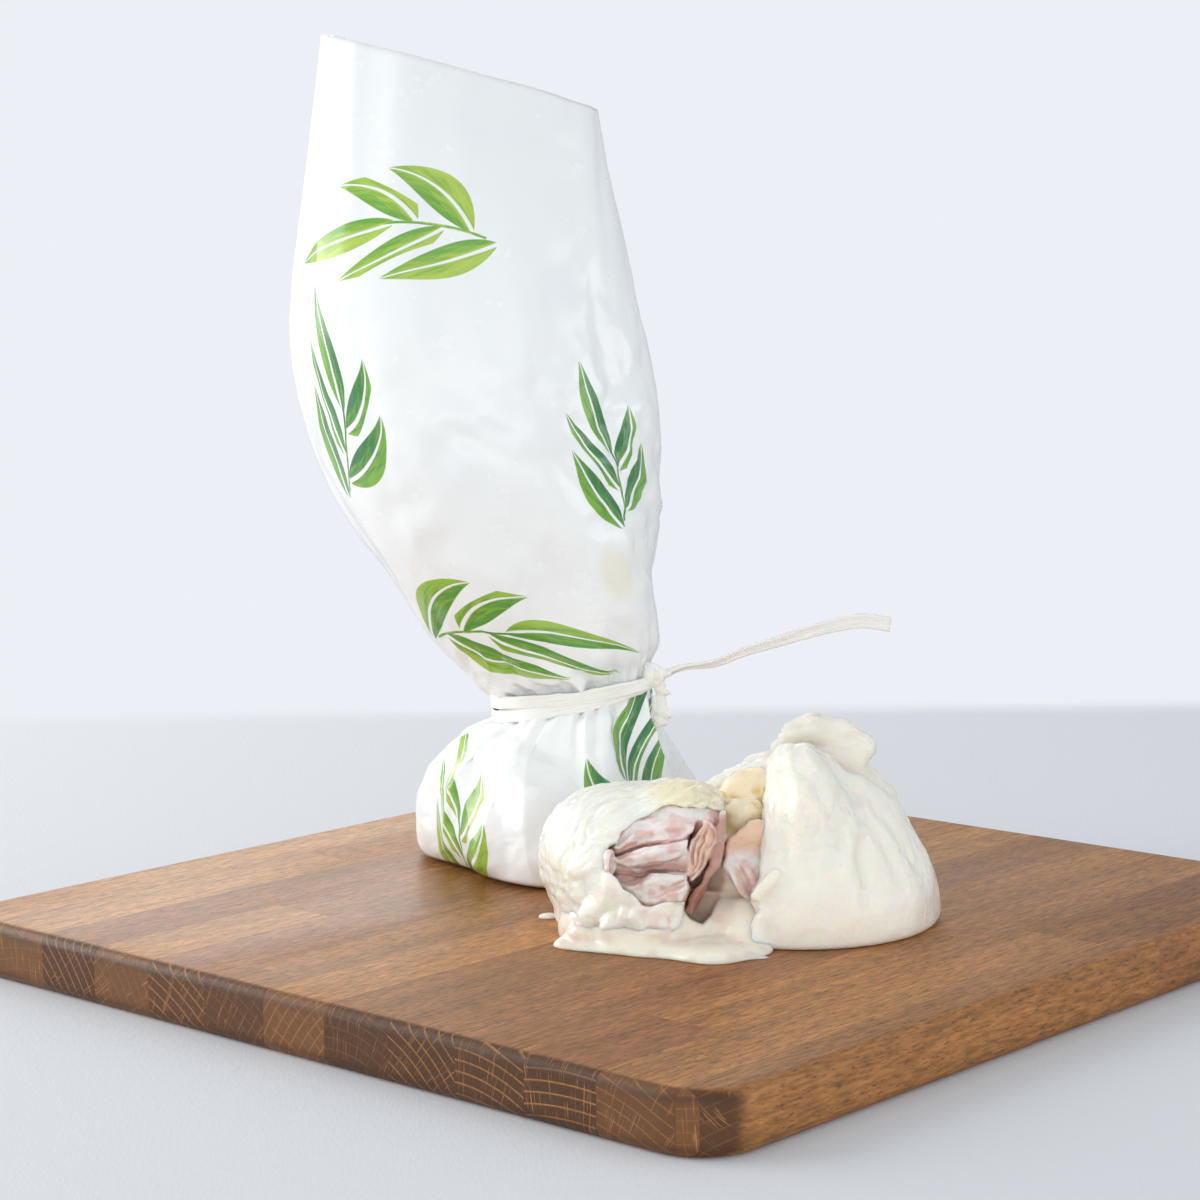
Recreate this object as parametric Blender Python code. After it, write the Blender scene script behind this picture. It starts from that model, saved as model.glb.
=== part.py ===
"""Burrata on its board: one still tied in its printed wrapper, one torn open over ham and cream.

The frame's origin is the centre of the board's underside, with +Z up. Everything that stands on the
board is laid out in the serving frame: its origin is the centre of the board's top, +X runs to the
right and +Y away from whoever faces the near corner of the board.
"""
import math

import bmesh
import bpy
import numpy as np
from mathutils import Matrix, Vector

MM = 0.001

# Board
BOARD_SIDE = 300 * MM
BOARD_THICKNESS = 17 * MM
BOARD_CORNER_RADIUS = 18 * MM
BOARD_EDGE_ROUND = 3.5 * MM

# The serving frame is turned on the board so that it faces the near corner
SERVING_TURN = math.radians(42.0)

# Clearance kept between pieces that touch
CLEARANCE = 0.3 * MM

# Wrapper
WRAPPER_SEGMENTS = 28
WRAPPER_DEPTH_AXIS = 52 * MM
WRAPPER_WALL = 1.4 * MM
WRAPPER_BACK_DROP = 24 * MM
WRAPPER_TRINE_ANGLE = math.radians(152)
WRAPPER_FOOT_SPAN = 0.86
FUNNEL_FLOOR_SECTION = 7

# Sections of the wrapper from its foot to its rim, in millimetres: left reach, height at the left,
# right reach, height at the right, half depth, and how far the outline is pulled out to three
# blunt corners, as a share of its radius.
WRAPPER_SECTIONS = (
    (-63.0, 0.0, 10.0, 0.0, 37.0, 0.18),
    (-69.5, 3.0, 17.0, 3.0, 43.0, 0.15),
    (-71.5, 12.0, 19.0, 12.0, 46.5, 0.09),
    (-68.5, 27.0, 15.5, 27.0, 43.0, 0.05),
    (-61.5, 39.5, 8.0, 40.0, 33.0, 0.03),
    (-46.5, 50.5, 1.5, 59.0, 19.5, 0.0),
    (-56.0, 60.0, 5.0, 71.0, 27.0, 0.0),
    (-73.0, 80.0, 6.0, 89.0, 36.0, 0.0),
    (-97.0, 118.0, 8.4, 120.0, 43.0, 0.0),
    (-107.0, 152.0, 7.0, 150.0, 44.0, 0.0),
    (-108.5, 184.0, 0.5, 184.0, 41.0, 0.0),
    (-103.5, 222.0, -6.0, 214.0, 35.0, 0.0),
    (-98.0, 261.5, -10.5, 238.0, 29.0, 0.0),
)
WRAPPER_ROWS_PER_SECTION = 2
NECK_SECTION = 5
RIM_START_SECTION = 9

# Tie round the neck
TIE_HALF_HEIGHT = 2.4 * MM
TIE_HALF_THICKNESS = 1.1 * MM
TIE_ROUND = 6
KNOT_CENTRE = (2.5 * MM, 44.0 * MM, 61.0 * MM)
KNOT_RADII = (4.6 * MM, 4.0 * MM, 3.8 * MM)
SHORT_END_CENTRE = (7.5 * MM, 45.0 * MM, 54.0 * MM)
SHORT_END_RADII = (2.8 * MM, 2.2 * MM, 8.0 * MM)
SHORT_END_LEAN = math.radians(-24)

# Loose end of the tie, from the knot to its cut tip
TAIL_DIAMETER = 3.2 * MM
TAIL_POINTS = 30
TAIL_ROUTE = (
    (7.6, 44.0, 61.6),
    (13.0, 44.0, 63.3),
    (22.5, 44.5, 64.4),
    (32.0, 45.5, 67.8),
    (42.0, 46.5, 70.6),
    (52.0, 47.5, 73.4),
    (62.0, 48.0, 75.8),
    (70.0, 48.0, 76.9),
    (78.5, 48.0, 75.6),
)

# Opened burrata: lobes of the outer form as (centre, radii), in millimetres
LEFT_LOBE = ((0.5, -37.0, 17.5), (32.5, 38.0, 25.5))
LEFT_SKIRT = ((0.0, -47.0, 2.0), (27.0, 34.0, 14.0))
RIGHT_LOBE = ((41.0, -31.0, 6.0), (46.5, 44.0, 39.0))
RIGHT_RIDGE = ((44.0, -33.0, 31.0), (15.0, 28.0, 21.5))
RIGHT_SHOULDER = ((57.0, -28.0, 24.0), (21.0, 27.0, 21.0))
BACK_BRIDGE = ((27.0, -17.0, 22.0), (20.0, 17.0, 21.0))
TOP_KNOT = ((53.0, -12.0, 47.0), (15.0, 12.0, 10.0))
REAR_FOLD = ((61.0, -9.0, 25.0), (15.0, 14.0, 17.0))
OUTER_LOBES = (
    LEFT_LOBE,
    LEFT_SKIRT,
    RIGHT_LOBE,
    RIGHT_RIDGE,
    RIGHT_SHOULDER,
    BACK_BRIDGE,
    TOP_KNOT,
    REAR_FOLD,
)
SKIN_THICKNESS = 4.0 * MM

# The tear: the torn mouth in the left lobe, and the cleft between the lobes
MOUTH = ((5.0, -76.0, 24.0), (17.0, 22.0, 14.5))
CLEFT = ((24.5, -66.0, 35.0), (11.5, 40.0, 29.0))
TEAR = (MOUTH, CLEFT)

# Cream that runs out of the tear, and the two pieces of ham in it
CREAM_POOL = (
    ((17.0, -62.0, 0.0), (27.0, 21.0, 9.0)),
    ((6.0, -66.0, 0.0), (31.0, 13.0, 5.5)),
    ((20.0, -77.0, 0.0), (14.0, 10.5, 3.5)),
)
HAM_BUNDLE = (
    ((1.0, -64.0, 25.0), (12.0, 12.0, 11.5)),
    ((8.0, -62.0, 20.0), (9.0, 12.0, 12.0)),
    ((-4.0, -68.0, 15.0), (8.0, 8.0, 7.0)),
)
HAM_TONGUE = (
    ((26.5, -61.0, 23.0), (6.0, 9.0, 12.5)),
    ((27.0, -62.0, 14.0), (6.5, 8.0, 8.5)),
)

LOBE_DETAIL = 4
VOXEL = 2.4 * MM
SKIN_KEEP = 0.105
TEAR_KEEP = 0.075
CREAM_KEEP = 0.07
POOL_KEEP = 0.14
HAM_KEEP = 0.3

# Colours as (red, green, blue, roughness)
BOARD_COLOUR = (0.30, 0.155, 0.07, 0.5)
WRAPPER_COLOUR = (0.88, 0.90, 0.91, 0.22)
TIE_COLOUR = (0.84, 0.81, 0.70, 0.45)
SKIN_COLOUR = (0.88, 0.85, 0.72, 0.3)
CREAM_COLOUR = (0.90, 0.84, 0.68, 0.2)
HAM_COLOUR = (0.66, 0.40, 0.36, 0.35)


def material(name, colour):
    made = bpy.data.materials.new(name)
    made.use_nodes = True
    shader = made.node_tree.nodes["Principled BSDF"]
    shader.inputs["Base Color"].default_value = (*colour[:3], 1.0)
    shader.inputs["Roughness"].default_value = colour[3]
    shader.inputs["Metallic"].default_value = 0.0
    return made


def add_object(name, mesh, parent=None):
    made = bpy.data.objects.new(name, mesh)
    bpy.context.scene.collection.objects.link(made)
    made.parent = parent
    return made


def mesh_from_bmesh(name, bm):
    """A mesh of triangles, so that every face is flat when other pieces are cut by it."""
    bmesh.ops.triangulate(bm, faces=bm.faces)
    mesh = bpy.data.meshes.new(name)
    bm.to_mesh(mesh)
    bm.free()
    return mesh


def finish(piece, colour):
    """Gives the piece its material and smooth shading that keeps its sharp edges."""
    piece.data.materials.clear()
    piece.data.materials.append(material(piece.name, colour))
    piece.data.shade_smooth()
    piece.data.set_sharp_from_angle(angle=math.radians(40))
    return piece


def bake(piece):
    """Replaces the piece's mesh with the result of its modifiers."""
    bpy.context.view_layer.update()
    evaluated = piece.evaluated_get(bpy.context.evaluated_depsgraph_get())
    bm = bmesh.new()
    bm.from_mesh(evaluated.to_mesh())
    evaluated.to_mesh_clear()
    piece.modifiers.clear()
    piece.data = mesh_from_bmesh(piece.name, bm)
    return piece


def combine(piece, tool, operation, solver="EXACT"):
    """Joins the tool to the piece, or cuts it out of it, and removes the tool."""
    modifier = piece.modifiers.new(operation, "BOOLEAN")
    modifier.operation = operation
    modifier.solver = solver
    modifier.object = tool
    bake(piece)
    bpy.data.objects.remove(tool)
    return piece


def grown_copy(piece, distance):
    """A copy of the piece whose surface lies the given distance further out."""
    copy = add_object(piece.name + "_grown", piece.data.copy(), piece.parent)
    copy.location = piece.location
    bm = bmesh.new()
    bm.from_mesh(copy.data)
    bm.normal_update()
    moves = [(vertex, vertex.normal * distance) for vertex in bm.verts]
    for vertex, move in moves:
        vertex.co += move
    bm.to_mesh(copy.data)
    bm.free()
    return copy


def box(name, low, high, parent):
    """A box between two corners."""
    bm = bmesh.new()
    bmesh.ops.create_cube(bm, size=1.0)
    centre = (Vector(low) + Vector(high)) / 2
    size = Vector(high) - Vector(low)
    bmesh.ops.transform(bm, matrix=Matrix.Translation(centre) @ Matrix.Diagonal((*size, 1)), verts=bm.verts)
    return add_object(name, mesh_from_bmesh(name, bm), parent)


def ring_body(name, rings, parent):
    """A closed body whose surface passes through the rings in order, shut at both ends by a point
    at the middle of the first ring and of the last."""
    bm = bmesh.new()
    rows = [[bm.verts.new(point) for point in ring] for ring in rings]
    count = len(rows[0])
    for low, high in zip(rows, rows[1:]):
        for i in range(count):
            j = (i + 1) % count
            bm.faces.new((low[i], low[j], high[j], high[i]))
    first = bm.verts.new(np.mean(rings[0], axis=0))
    last = bm.verts.new(np.mean(rings[-1], axis=0))
    for i in range(count):
        j = (i + 1) % count
        bm.faces.new((first, rows[0][j], rows[0][i]))
        bm.faces.new((last, rows[-1][i], rows[-1][j]))
    return add_object(name, mesh_from_bmesh(name, bm), parent)


def smooth_rows(sections, per_section):
    """The sections with more of them between, on a curve that passes through each one."""
    table = np.array(sections)
    padded = np.vstack([2 * table[0] - table[1], table, 2 * table[-1] - table[-2]])
    rows = []
    for i in range(1, len(padded) - 2):
        before, start, end, after = padded[i - 1 : i + 3]
        for t in np.arange(per_section) / per_section:
            bend = 2 * start + (end - before) * t
            bend += (2 * before - 5 * start + 4 * end - after) * t**2
            bend += (3 * start - before - 3 * end + after) * t**3
            rows.append(bend / 2)
    rows.append(table[-1])
    return np.array(rows)


def wrapper_ring(row, shrink=0.0, drop=0.0):
    """One ring round the wrapper: an oval between the row's left and right reach, tilted from one
    height to the other, with its back lowered by drop."""
    left, left_height, right, right_height, depth, trine = row
    angle = np.arange(WRAPPER_SEGMENTS) * 2 * math.pi / WRAPPER_SEGMENTS
    pull = 1 + trine * np.cos(3 * (angle - WRAPPER_TRINE_ANGLE))
    half_width = (right - left) / 2 * MM - shrink
    half_depth = depth * MM - shrink
    x = (left + right) / 2 * MM + half_width * np.cos(angle) * pull
    y = WRAPPER_DEPTH_AXIS + half_depth * np.sin(angle) * pull
    tilt = (right_height - left_height) / 2 * MM
    z = (left_height + right_height) / 2 * MM + tilt * np.cos(angle)
    z = z - drop * np.clip(np.sin(angle), 0, None)
    return np.column_stack([x, y, z])


def make_board():
    bm = bmesh.new()
    bmesh.ops.create_cube(bm, size=1.0)
    size = Matrix.Diagonal((BOARD_SIDE, BOARD_SIDE, BOARD_THICKNESS, 1))
    bmesh.ops.transform(bm, matrix=size, verts=bm.verts)
    upright = [e for e in bm.edges if abs(e.verts[0].co.z - e.verts[1].co.z) > BOARD_THICKNESS / 2]
    bmesh.ops.bevel(bm, geom=upright, offset=BOARD_CORNER_RADIUS, segments=6, profile=0.5, affect="EDGES")
    board = add_object("board", mesh_from_bmesh("board", bm))
    board.location.z = BOARD_THICKNESS / 2
    rims = board.modifiers.new("rims", "BEVEL")
    rims.width = BOARD_EDGE_ROUND
    rims.segments = 3
    rims.limit_method = "ANGLE"
    rims.angle_limit = math.radians(60)
    return finish(board, BOARD_COLOUR)


def make_wrapper(serving):
    """The shut bulb, its gathered neck and the open funnel of film above it, in one body."""
    rows = smooth_rows(WRAPPER_SECTIONS, WRAPPER_ROWS_PER_SECTION)
    rim_start = WRAPPER_ROWS_PER_SECTION * RIM_START_SECTION
    span = len(rows) - 1 - rim_start
    drops = [WRAPPER_BACK_DROP * max(0, i - rim_start) / span for i in range(len(rows))]
    rings = [wrapper_ring(row, 0.0, drop) for row, drop in zip(rows, drops)]
    floor = WRAPPER_ROWS_PER_SECTION * FUNNEL_FLOOR_SECTION
    for row, drop in reversed(list(zip(rows, drops))[floor:]):
        rings.append(wrapper_ring(row, WRAPPER_WALL, drop))
    foot = rings[0].copy()
    centre = foot.mean(axis=0)
    rings.insert(0, centre + (foot - centre) * WRAPPER_FOOT_SPAN)
    wrapper = ring_body("wrapper", rings, serving)
    wrapper.location.z = CLEARANCE
    return wrapper


def tie_loop(serving):
    """The band round the neck: an oval section carried along the neck's outline."""
    row = np.array(WRAPPER_SECTIONS[NECK_SECTION])
    middle = wrapper_ring(row, -CLEARANCE)
    axis = middle.mean(axis=0)
    outward = middle - axis
    outward[:, 2] = 0
    outward /= np.linalg.norm(outward, axis=1, keepdims=True)
    bm = bmesh.new()
    loops = []
    for k in range(TIE_ROUND):
        turn = 2 * math.pi * k / TIE_ROUND
        out = outward * TIE_HALF_THICKNESS * math.cos(turn)
        rise = np.array([0, 0, TIE_HALF_HEIGHT * math.sin(turn)])
        loops.append([bm.verts.new(point) for point in middle + out + rise])
    count = len(middle)
    for k in range(TIE_ROUND):
        low, high = loops[k], loops[(k + 1) % TIE_ROUND]
        for i in range(count):
            j = (i + 1) % count
            bm.faces.new((low[i], low[j], high[j], high[i]))
    band = add_object("tie_band", mesh_from_bmesh("tie_band", bm), serving)
    band.location.z = CLEARANCE
    return band


def tie_wrapper(wrapper, serving):
    """The tie: its band, its knot and the short end that hangs from the knot, set into the neck."""
    band = tie_loop(serving)
    knot = ball("knot", KNOT_CENTRE, KNOT_RADII, serving)
    short_end = ball("short_end", SHORT_END_CENTRE, SHORT_END_RADII, serving, SHORT_END_LEAN)
    for part in (band, knot, short_end):
        combine(wrapper, grown_copy(part, CLEARANCE), "DIFFERENCE")
    combine(band, knot, "UNION")
    combine(band, short_end, "UNION")
    finish(wrapper, WRAPPER_COLOUR)
    finish(band, TIE_COLOUR)


def ball(name, centre, radii, parent, lean=0.0, detail=2):
    """An egg-shaped lump, leaned about the depth axis."""
    bm = bmesh.new()
    bmesh.ops.create_icosphere(bm, subdivisions=detail, radius=1.0)
    place = Matrix.Translation(centre) @ Matrix.Rotation(lean, 4, "Y") @ Matrix.Diagonal((*radii, 1))
    bmesh.ops.transform(bm, matrix=place, verts=bm.verts)
    return add_object(name, mesh_from_bmesh(name, bm), parent)


def make_tie_tail(serving):
    """The loose end of the tie: a tube on a smooth curve through the route's points."""
    route = smooth_rows(TAIL_ROUTE, 12) * MM
    steps = np.linalg.norm(np.diff(route, axis=0), axis=1)
    along = np.concatenate([[0], np.cumsum(steps)])
    stops = np.linspace(0, along[-1], TAIL_POINTS)
    points = np.column_stack([np.interp(stops, along, route[:, k]) for k in range(3)])
    curve = bpy.data.curves.new("tie_tail", "CURVE")
    curve.dimensions = "3D"
    curve.bevel_depth = TAIL_DIAMETER / 2
    curve.bevel_resolution = 2
    curve.use_fill_caps = True
    curve.resolution_u = 1
    curve.render_resolution_u = 0
    spline = curve.splines.new("POLY")
    spline.points.add(len(points) - 1)
    spline.points.foreach_set("co", np.column_stack([points, np.ones(len(points))]).ravel())
    tail = add_object("tie_tail", curve, serving)
    tail.location.z = CLEARANCE
    curve.materials.append(material("tie_tail", TIE_COLOUR))
    return tail


def fused_lobes(name, lobes, parent, inset=0.0, keep=1.0, base=None):
    """Egg-shaped lobes melted into one body, each smaller by inset, then thinned to the share of
    faces that keep says and cut flat at the height base."""
    bm = bmesh.new()
    for centre, radii in lobes:
        reach = [radius * MM - inset for radius in radii]
        place = Matrix.Translation(Vector(centre) * MM) @ Matrix.Diagonal((*reach, 1))
        bmesh.ops.create_icosphere(bm, subdivisions=LOBE_DETAIL, radius=1.0, matrix=place)
    body = add_object(name, mesh_from_bmesh(name, bm), parent)
    melt = body.modifiers.new("melt", "REMESH")
    melt.mode = "VOXEL"
    melt.voxel_size = VOXEL
    soften = body.modifiers.new("soften", "SMOOTH")
    soften.factor = 0.5
    soften.iterations = 4
    bake(body)
    if keep < 1:
        thin = body.modifiers.new("thin", "DECIMATE")
        thin.ratio = keep
        bake(body)
    if base is not None:
        below = box("below", (-0.2, -0.2, -0.1), (0.2, 0.2, base), parent)
        combine(body, below, "DIFFERENCE")
    return body


def make_burrata(serving):
    """The torn pouch of skin, the cream that fills it and runs out, and the ham in the tear."""
    skin = fused_lobes("burrata_skin", OUTER_LOBES, serving, keep=SKIN_KEEP, base=CLEARANCE)
    cream = fused_lobes(
        "cream", OUTER_LOBES, serving, inset=SKIN_THICKNESS, keep=CREAM_KEEP, base=SKIN_THICKNESS
    )
    pool = fused_lobes("pool", CREAM_POOL, serving, keep=POOL_KEEP, base=CLEARANCE)
    ham = [
        fused_lobes("ham_bundle", HAM_BUNDLE, serving, keep=HAM_KEEP),
        fused_lobes("ham_tongue", HAM_TONGUE, serving, keep=HAM_KEEP),
    ]
    for filling in (cream, pool, *ham):
        combine(skin, grown_copy(filling, CLEARANCE), "DIFFERENCE")
    for torn in (skin, cream):
        combine(torn, fused_lobes("tear", TEAR, serving, keep=TEAR_KEEP), "DIFFERENCE")
    combine(cream, pool, "UNION", "MANIFOLD")
    for piece in ham:
        combine(cream, grown_copy(piece, CLEARANCE), "DIFFERENCE")
        finish(piece, HAM_COLOUR)
    finish(skin, SKIN_COLOUR)
    finish(cream, CREAM_COLOUR)


def main():
    for existing in list(bpy.data.objects):
        bpy.data.objects.remove(existing)
    make_board()
    serving = add_object("serving", None)
    serving.location.z = BOARD_THICKNESS
    serving.rotation_euler.z = SERVING_TURN
    tie_wrapper(make_wrapper(serving), serving)
    make_tie_tail(serving)
    make_burrata(serving)


main()
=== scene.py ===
"""Looks of a burrata on its board: one still tied in its printed film, one torn open over ham."""

import math

import bpy
import numpy as np
from bpy.props import FloatProperty, FloatVectorProperty, IntProperty, PointerProperty
from mathutils import Color, Matrix, Vector


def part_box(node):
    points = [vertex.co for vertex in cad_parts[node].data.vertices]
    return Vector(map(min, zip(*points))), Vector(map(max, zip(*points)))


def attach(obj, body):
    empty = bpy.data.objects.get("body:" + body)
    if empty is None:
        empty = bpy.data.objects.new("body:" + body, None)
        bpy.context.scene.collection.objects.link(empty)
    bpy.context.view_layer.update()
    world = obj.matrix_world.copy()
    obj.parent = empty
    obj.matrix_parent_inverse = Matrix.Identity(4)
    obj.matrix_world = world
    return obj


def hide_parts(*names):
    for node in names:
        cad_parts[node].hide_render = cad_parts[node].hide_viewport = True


bl_info = {
    "name": "Burrata on a Board",
    "version": (1, 0, 0),
    "blender": (4, 5, 0),
    "location": "View3D > Sidebar > Burrata",
    "description": "Builds the board, the tied film pack and the torn burrata with its filling",
    "category": "Add Mesh",
}

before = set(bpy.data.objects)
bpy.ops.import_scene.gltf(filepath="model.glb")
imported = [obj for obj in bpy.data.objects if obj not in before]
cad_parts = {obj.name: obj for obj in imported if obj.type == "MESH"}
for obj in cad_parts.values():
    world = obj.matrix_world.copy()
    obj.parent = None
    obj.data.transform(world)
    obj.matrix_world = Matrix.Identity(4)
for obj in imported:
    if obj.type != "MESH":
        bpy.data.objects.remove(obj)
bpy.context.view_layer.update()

MM = 0.001
BOARD_LOW, BOARD_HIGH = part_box("board")

# The serving frame is turned on the board: its origin is the centre of the board's top
SERVING_TURN = math.radians(42.0)


# === Shapes: shared numpy helpers. Lengths are millimetres in the serving frame until to_row turns
# them into metres in the frame's own axes.


def to_row(points):
    """Turns the points by the serving turn about Z, lifts them to the board's top and scales to metres."""
    x, y, z = np.moveaxis(np.asarray(points, float), -1, 0) * MM
    cosine = math.cos(SERVING_TURN)
    sine = math.sin(SERVING_TURN)
    return stacked(cosine * x - sine * y, sine * x + cosine * y, z + BOARD_HIGH.z)


def stacked(*parts):
    """The parts side by side along a new last axis, each spread to the shape of the largest."""
    return np.stack(np.broadcast_arrays(*parts), axis=-1)


def smooth_rows(table, count):
    """Catmull-Rom curve through the table's rows, read at count evenly spaced places."""
    table = np.asarray(table, float)
    padded = np.vstack([2 * table[0] - table[1], table, 2 * table[-1] - table[-2]])
    place = np.linspace(0, len(table) - 1, count)
    start = np.minimum(place.astype(int), len(table) - 2)
    t = (place - start)[:, None]
    before, first, second, after = (padded[start + k] for k in range(4))
    bend = 2 * first + (second - before) * t
    bend += (2 * before - 5 * first + 4 * second - after) * t**2
    bend += (3 * first - before - 3 * second + after) * t**3
    return bend / 2


def cell_values(cells, seed):
    """A fixed pseudo-random number from -1 to 1 for each whole-number cell, by integer mixing."""
    mixed = np.full(cells.shape[:-1], (seed * 1442695041 + 12345) & 0xFFFFFFFF, np.uint64)
    for axis, prime in enumerate((374761393, 668265263, 2246822519)[: cells.shape[-1]]):
        mixed ^= (cells[..., axis].astype(np.int64) + 1000003).astype(np.uint64) * np.uint64(prime)
        mixed = (mixed ^ (mixed >> np.uint64(15))) * np.uint64(2654435761) & np.uint64(0xFFFFFFFF)
    mixed ^= mixed >> np.uint64(13)
    return (mixed & np.uint64(0xFFFF)).astype(float) / 32767.5 - 1


def soft_noise(points, seed=0):
    """Value noise, -1 to 1: random lattice values blended by 6t^5 - 15t^4 + 10t^3 along each axis."""
    points = np.asarray(points, float)
    base = np.floor(points)
    t = points - base
    fade = t * t * t * (t * (t * 6 - 15) + 10)
    base = base.astype(np.int64)
    total = 0.0
    for corner in np.ndindex(*(2,) * points.shape[-1]):
        step = np.array(corner)
        weight = np.prod(np.where(step, fade, 1 - fade), axis=-1)
        total = total + weight * cell_values(base + step, seed)
    return total


def cloud_noise(points, octaves, seed=0):
    """Sum of soft noise, each octave twice as fine and half as strong as the one before."""
    total = 0.0
    for octave in range(octaves):
        total = total + soft_noise(points * 2.0**octave, seed + octave) * 0.5**octave
    return total


def crease_noise(u, v, cell, seed):
    """Crumpled sheet, -1 to 1: random heights on a lattice of triangles, joined by flat faces."""
    a = u / cell - v / (cell * math.sqrt(3))
    b = 2 * v / (cell * math.sqrt(3))
    base = stacked(np.floor(a), np.floor(b)).astype(np.int64)
    a = a - base[..., 0]
    b = b - base[..., 1]
    upper = a + b > 1
    corner = np.where(upper[..., None], base + 1, base)
    along = np.where(upper, 1 - b, a)
    across = np.where(upper, 1 - a, b)
    height = (1 - along - across) * cell_values(corner, seed)
    height += along * cell_values(base + (1, 0), seed)
    height += across * cell_values(base + (0, 1), seed)
    return height


def crumple(u, v, cell, seed):
    """Crease noise at two sizes, its lattices bent by soft noise so that no crease runs straight."""
    place = stacked(u, v) / (cell * 2.2)
    shift_u = cell * 0.7 * soft_noise(place, seed + 50)
    shift_v = cell * 0.7 * soft_noise(place, seed + 51)
    broad = crease_noise(u + shift_u, v + shift_v, cell, seed)
    turned_u = 0.8 * u - 0.6 * v
    turned_v = 0.6 * u + 0.8 * v
    fine = crease_noise(turned_u + shift_v, turned_v + shift_u, cell * 0.43, seed + 1)
    return broad + 0.4 * fine


def ramp(value, low, high):
    """Zero below low, one above high, with a smooth rise between; high may be the smaller one."""
    t = np.clip((value - low) / (high - low), 0, 1)
    return t * t * (3 - 2 * t)


def bump_at(value, centre, width):
    """A bell of height one round the centre: exp(-(distance / width)^2)."""
    return np.exp(-(((value - centre) / width) ** 2))


def unit(vectors):
    """Each vector divided by its own length."""
    return vectors / np.maximum(np.linalg.norm(vectors, axis=-1, keepdims=True), 1e-12)


def grid_normals(points, wrap=False):
    """Unit normals of a grid: the cross product of its column step and its row step."""
    if wrap:
        padded = np.concatenate([points[:, -1:], points, points[:, :1]], axis=1)
        across = padded[:, 2:] - padded[:, :-2]
    else:
        across = np.gradient(points, axis=1)
    along = np.gradient(points, axis=0)
    return unit(np.cross(across, along))


def table_line(value, places, heights):
    """Straight lines through a table's points, in the value's own precision."""
    return np.interp(value, places, heights).astype(value.dtype)


def grid_faces(rows, columns, wrap):
    """Quads of a grid, as vertex numbers, and the row and column of each of their corners."""
    index = np.arange(rows * columns).reshape(rows, columns)
    if wrap:
        index = np.hstack([index, index[:, :1]])
    row, column = np.meshgrid(np.arange(rows - 1), np.arange(index.shape[1] - 1), indexing="ij")
    corner_rows = stacked(row, row, row + 1, row + 1).reshape(-1, 4)
    corner_columns = stacked(column, column + 1, column + 1, column).reshape(-1, 4)
    return index[corner_rows, corner_columns], corner_rows, corner_columns


def grid_piece(name, points, wrap=False, ends=(False, False), uv=None):
    """A piece from a grid of points in the frame's own axes. Each end that is asked for is closed by a pole
    at the mean of its row. uv has one column more than the points where the grid wraps."""
    rows, columns = points.shape[:2]
    quads, corner_rows, corner_columns = grid_faces(rows, columns, wrap)
    vertices = points.reshape(-1, 3)
    faces = quads.tolist()
    corners = [uv[corner_rows, corner_columns].reshape(-1, 2)] if uv is not None else []
    for closed, row, flip in ((ends[0], 0, True), (ends[1], rows - 1, False)):
        if not closed:
            continue
        pole = len(vertices)
        vertices = np.vstack([vertices, points[row].mean(axis=0)])
        ring = np.arange(columns) + row * columns
        after = np.roll(ring, -1)
        order = (after, ring) if flip else (ring, after)
        faces += np.column_stack([np.full(columns, pole), *order]).tolist()
        if uv is not None:
            fan = uv[row, np.stack([np.arange(columns)] * 3, axis=-1)]
            corners.append(fan.reshape(-1, 2))
    piece = mesh_piece(name, vertices, faces)
    if uv is not None:
        layer = piece.data.uv_layers.new(name="UVMap")
        layer.data.foreach_set("uv", np.vstack(corners).ravel())
    return piece


def mesh_piece(name, vertices, faces):
    """A smooth-shaded mesh object, linked to the scene, with its place in its mesh."""
    mesh = bpy.data.meshes.new(name)
    mesh.from_pydata(np.asarray(vertices).tolist(), [], faces)
    mesh.validate()
    mesh.shade_smooth()
    piece = bpy.data.objects.new(name, mesh)
    bpy.context.scene.collection.objects.link(piece)
    return piece


def carry_profile(path, profile, sides, ups):
    """A profile of (side, up) offsets carried along a path: each path point plus side and up times
    that point's two directions."""
    return path[:, None] + profile[..., :1] * sides[:, None] + profile[..., 1:2] * ups[:, None]


# === Node trees


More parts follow.
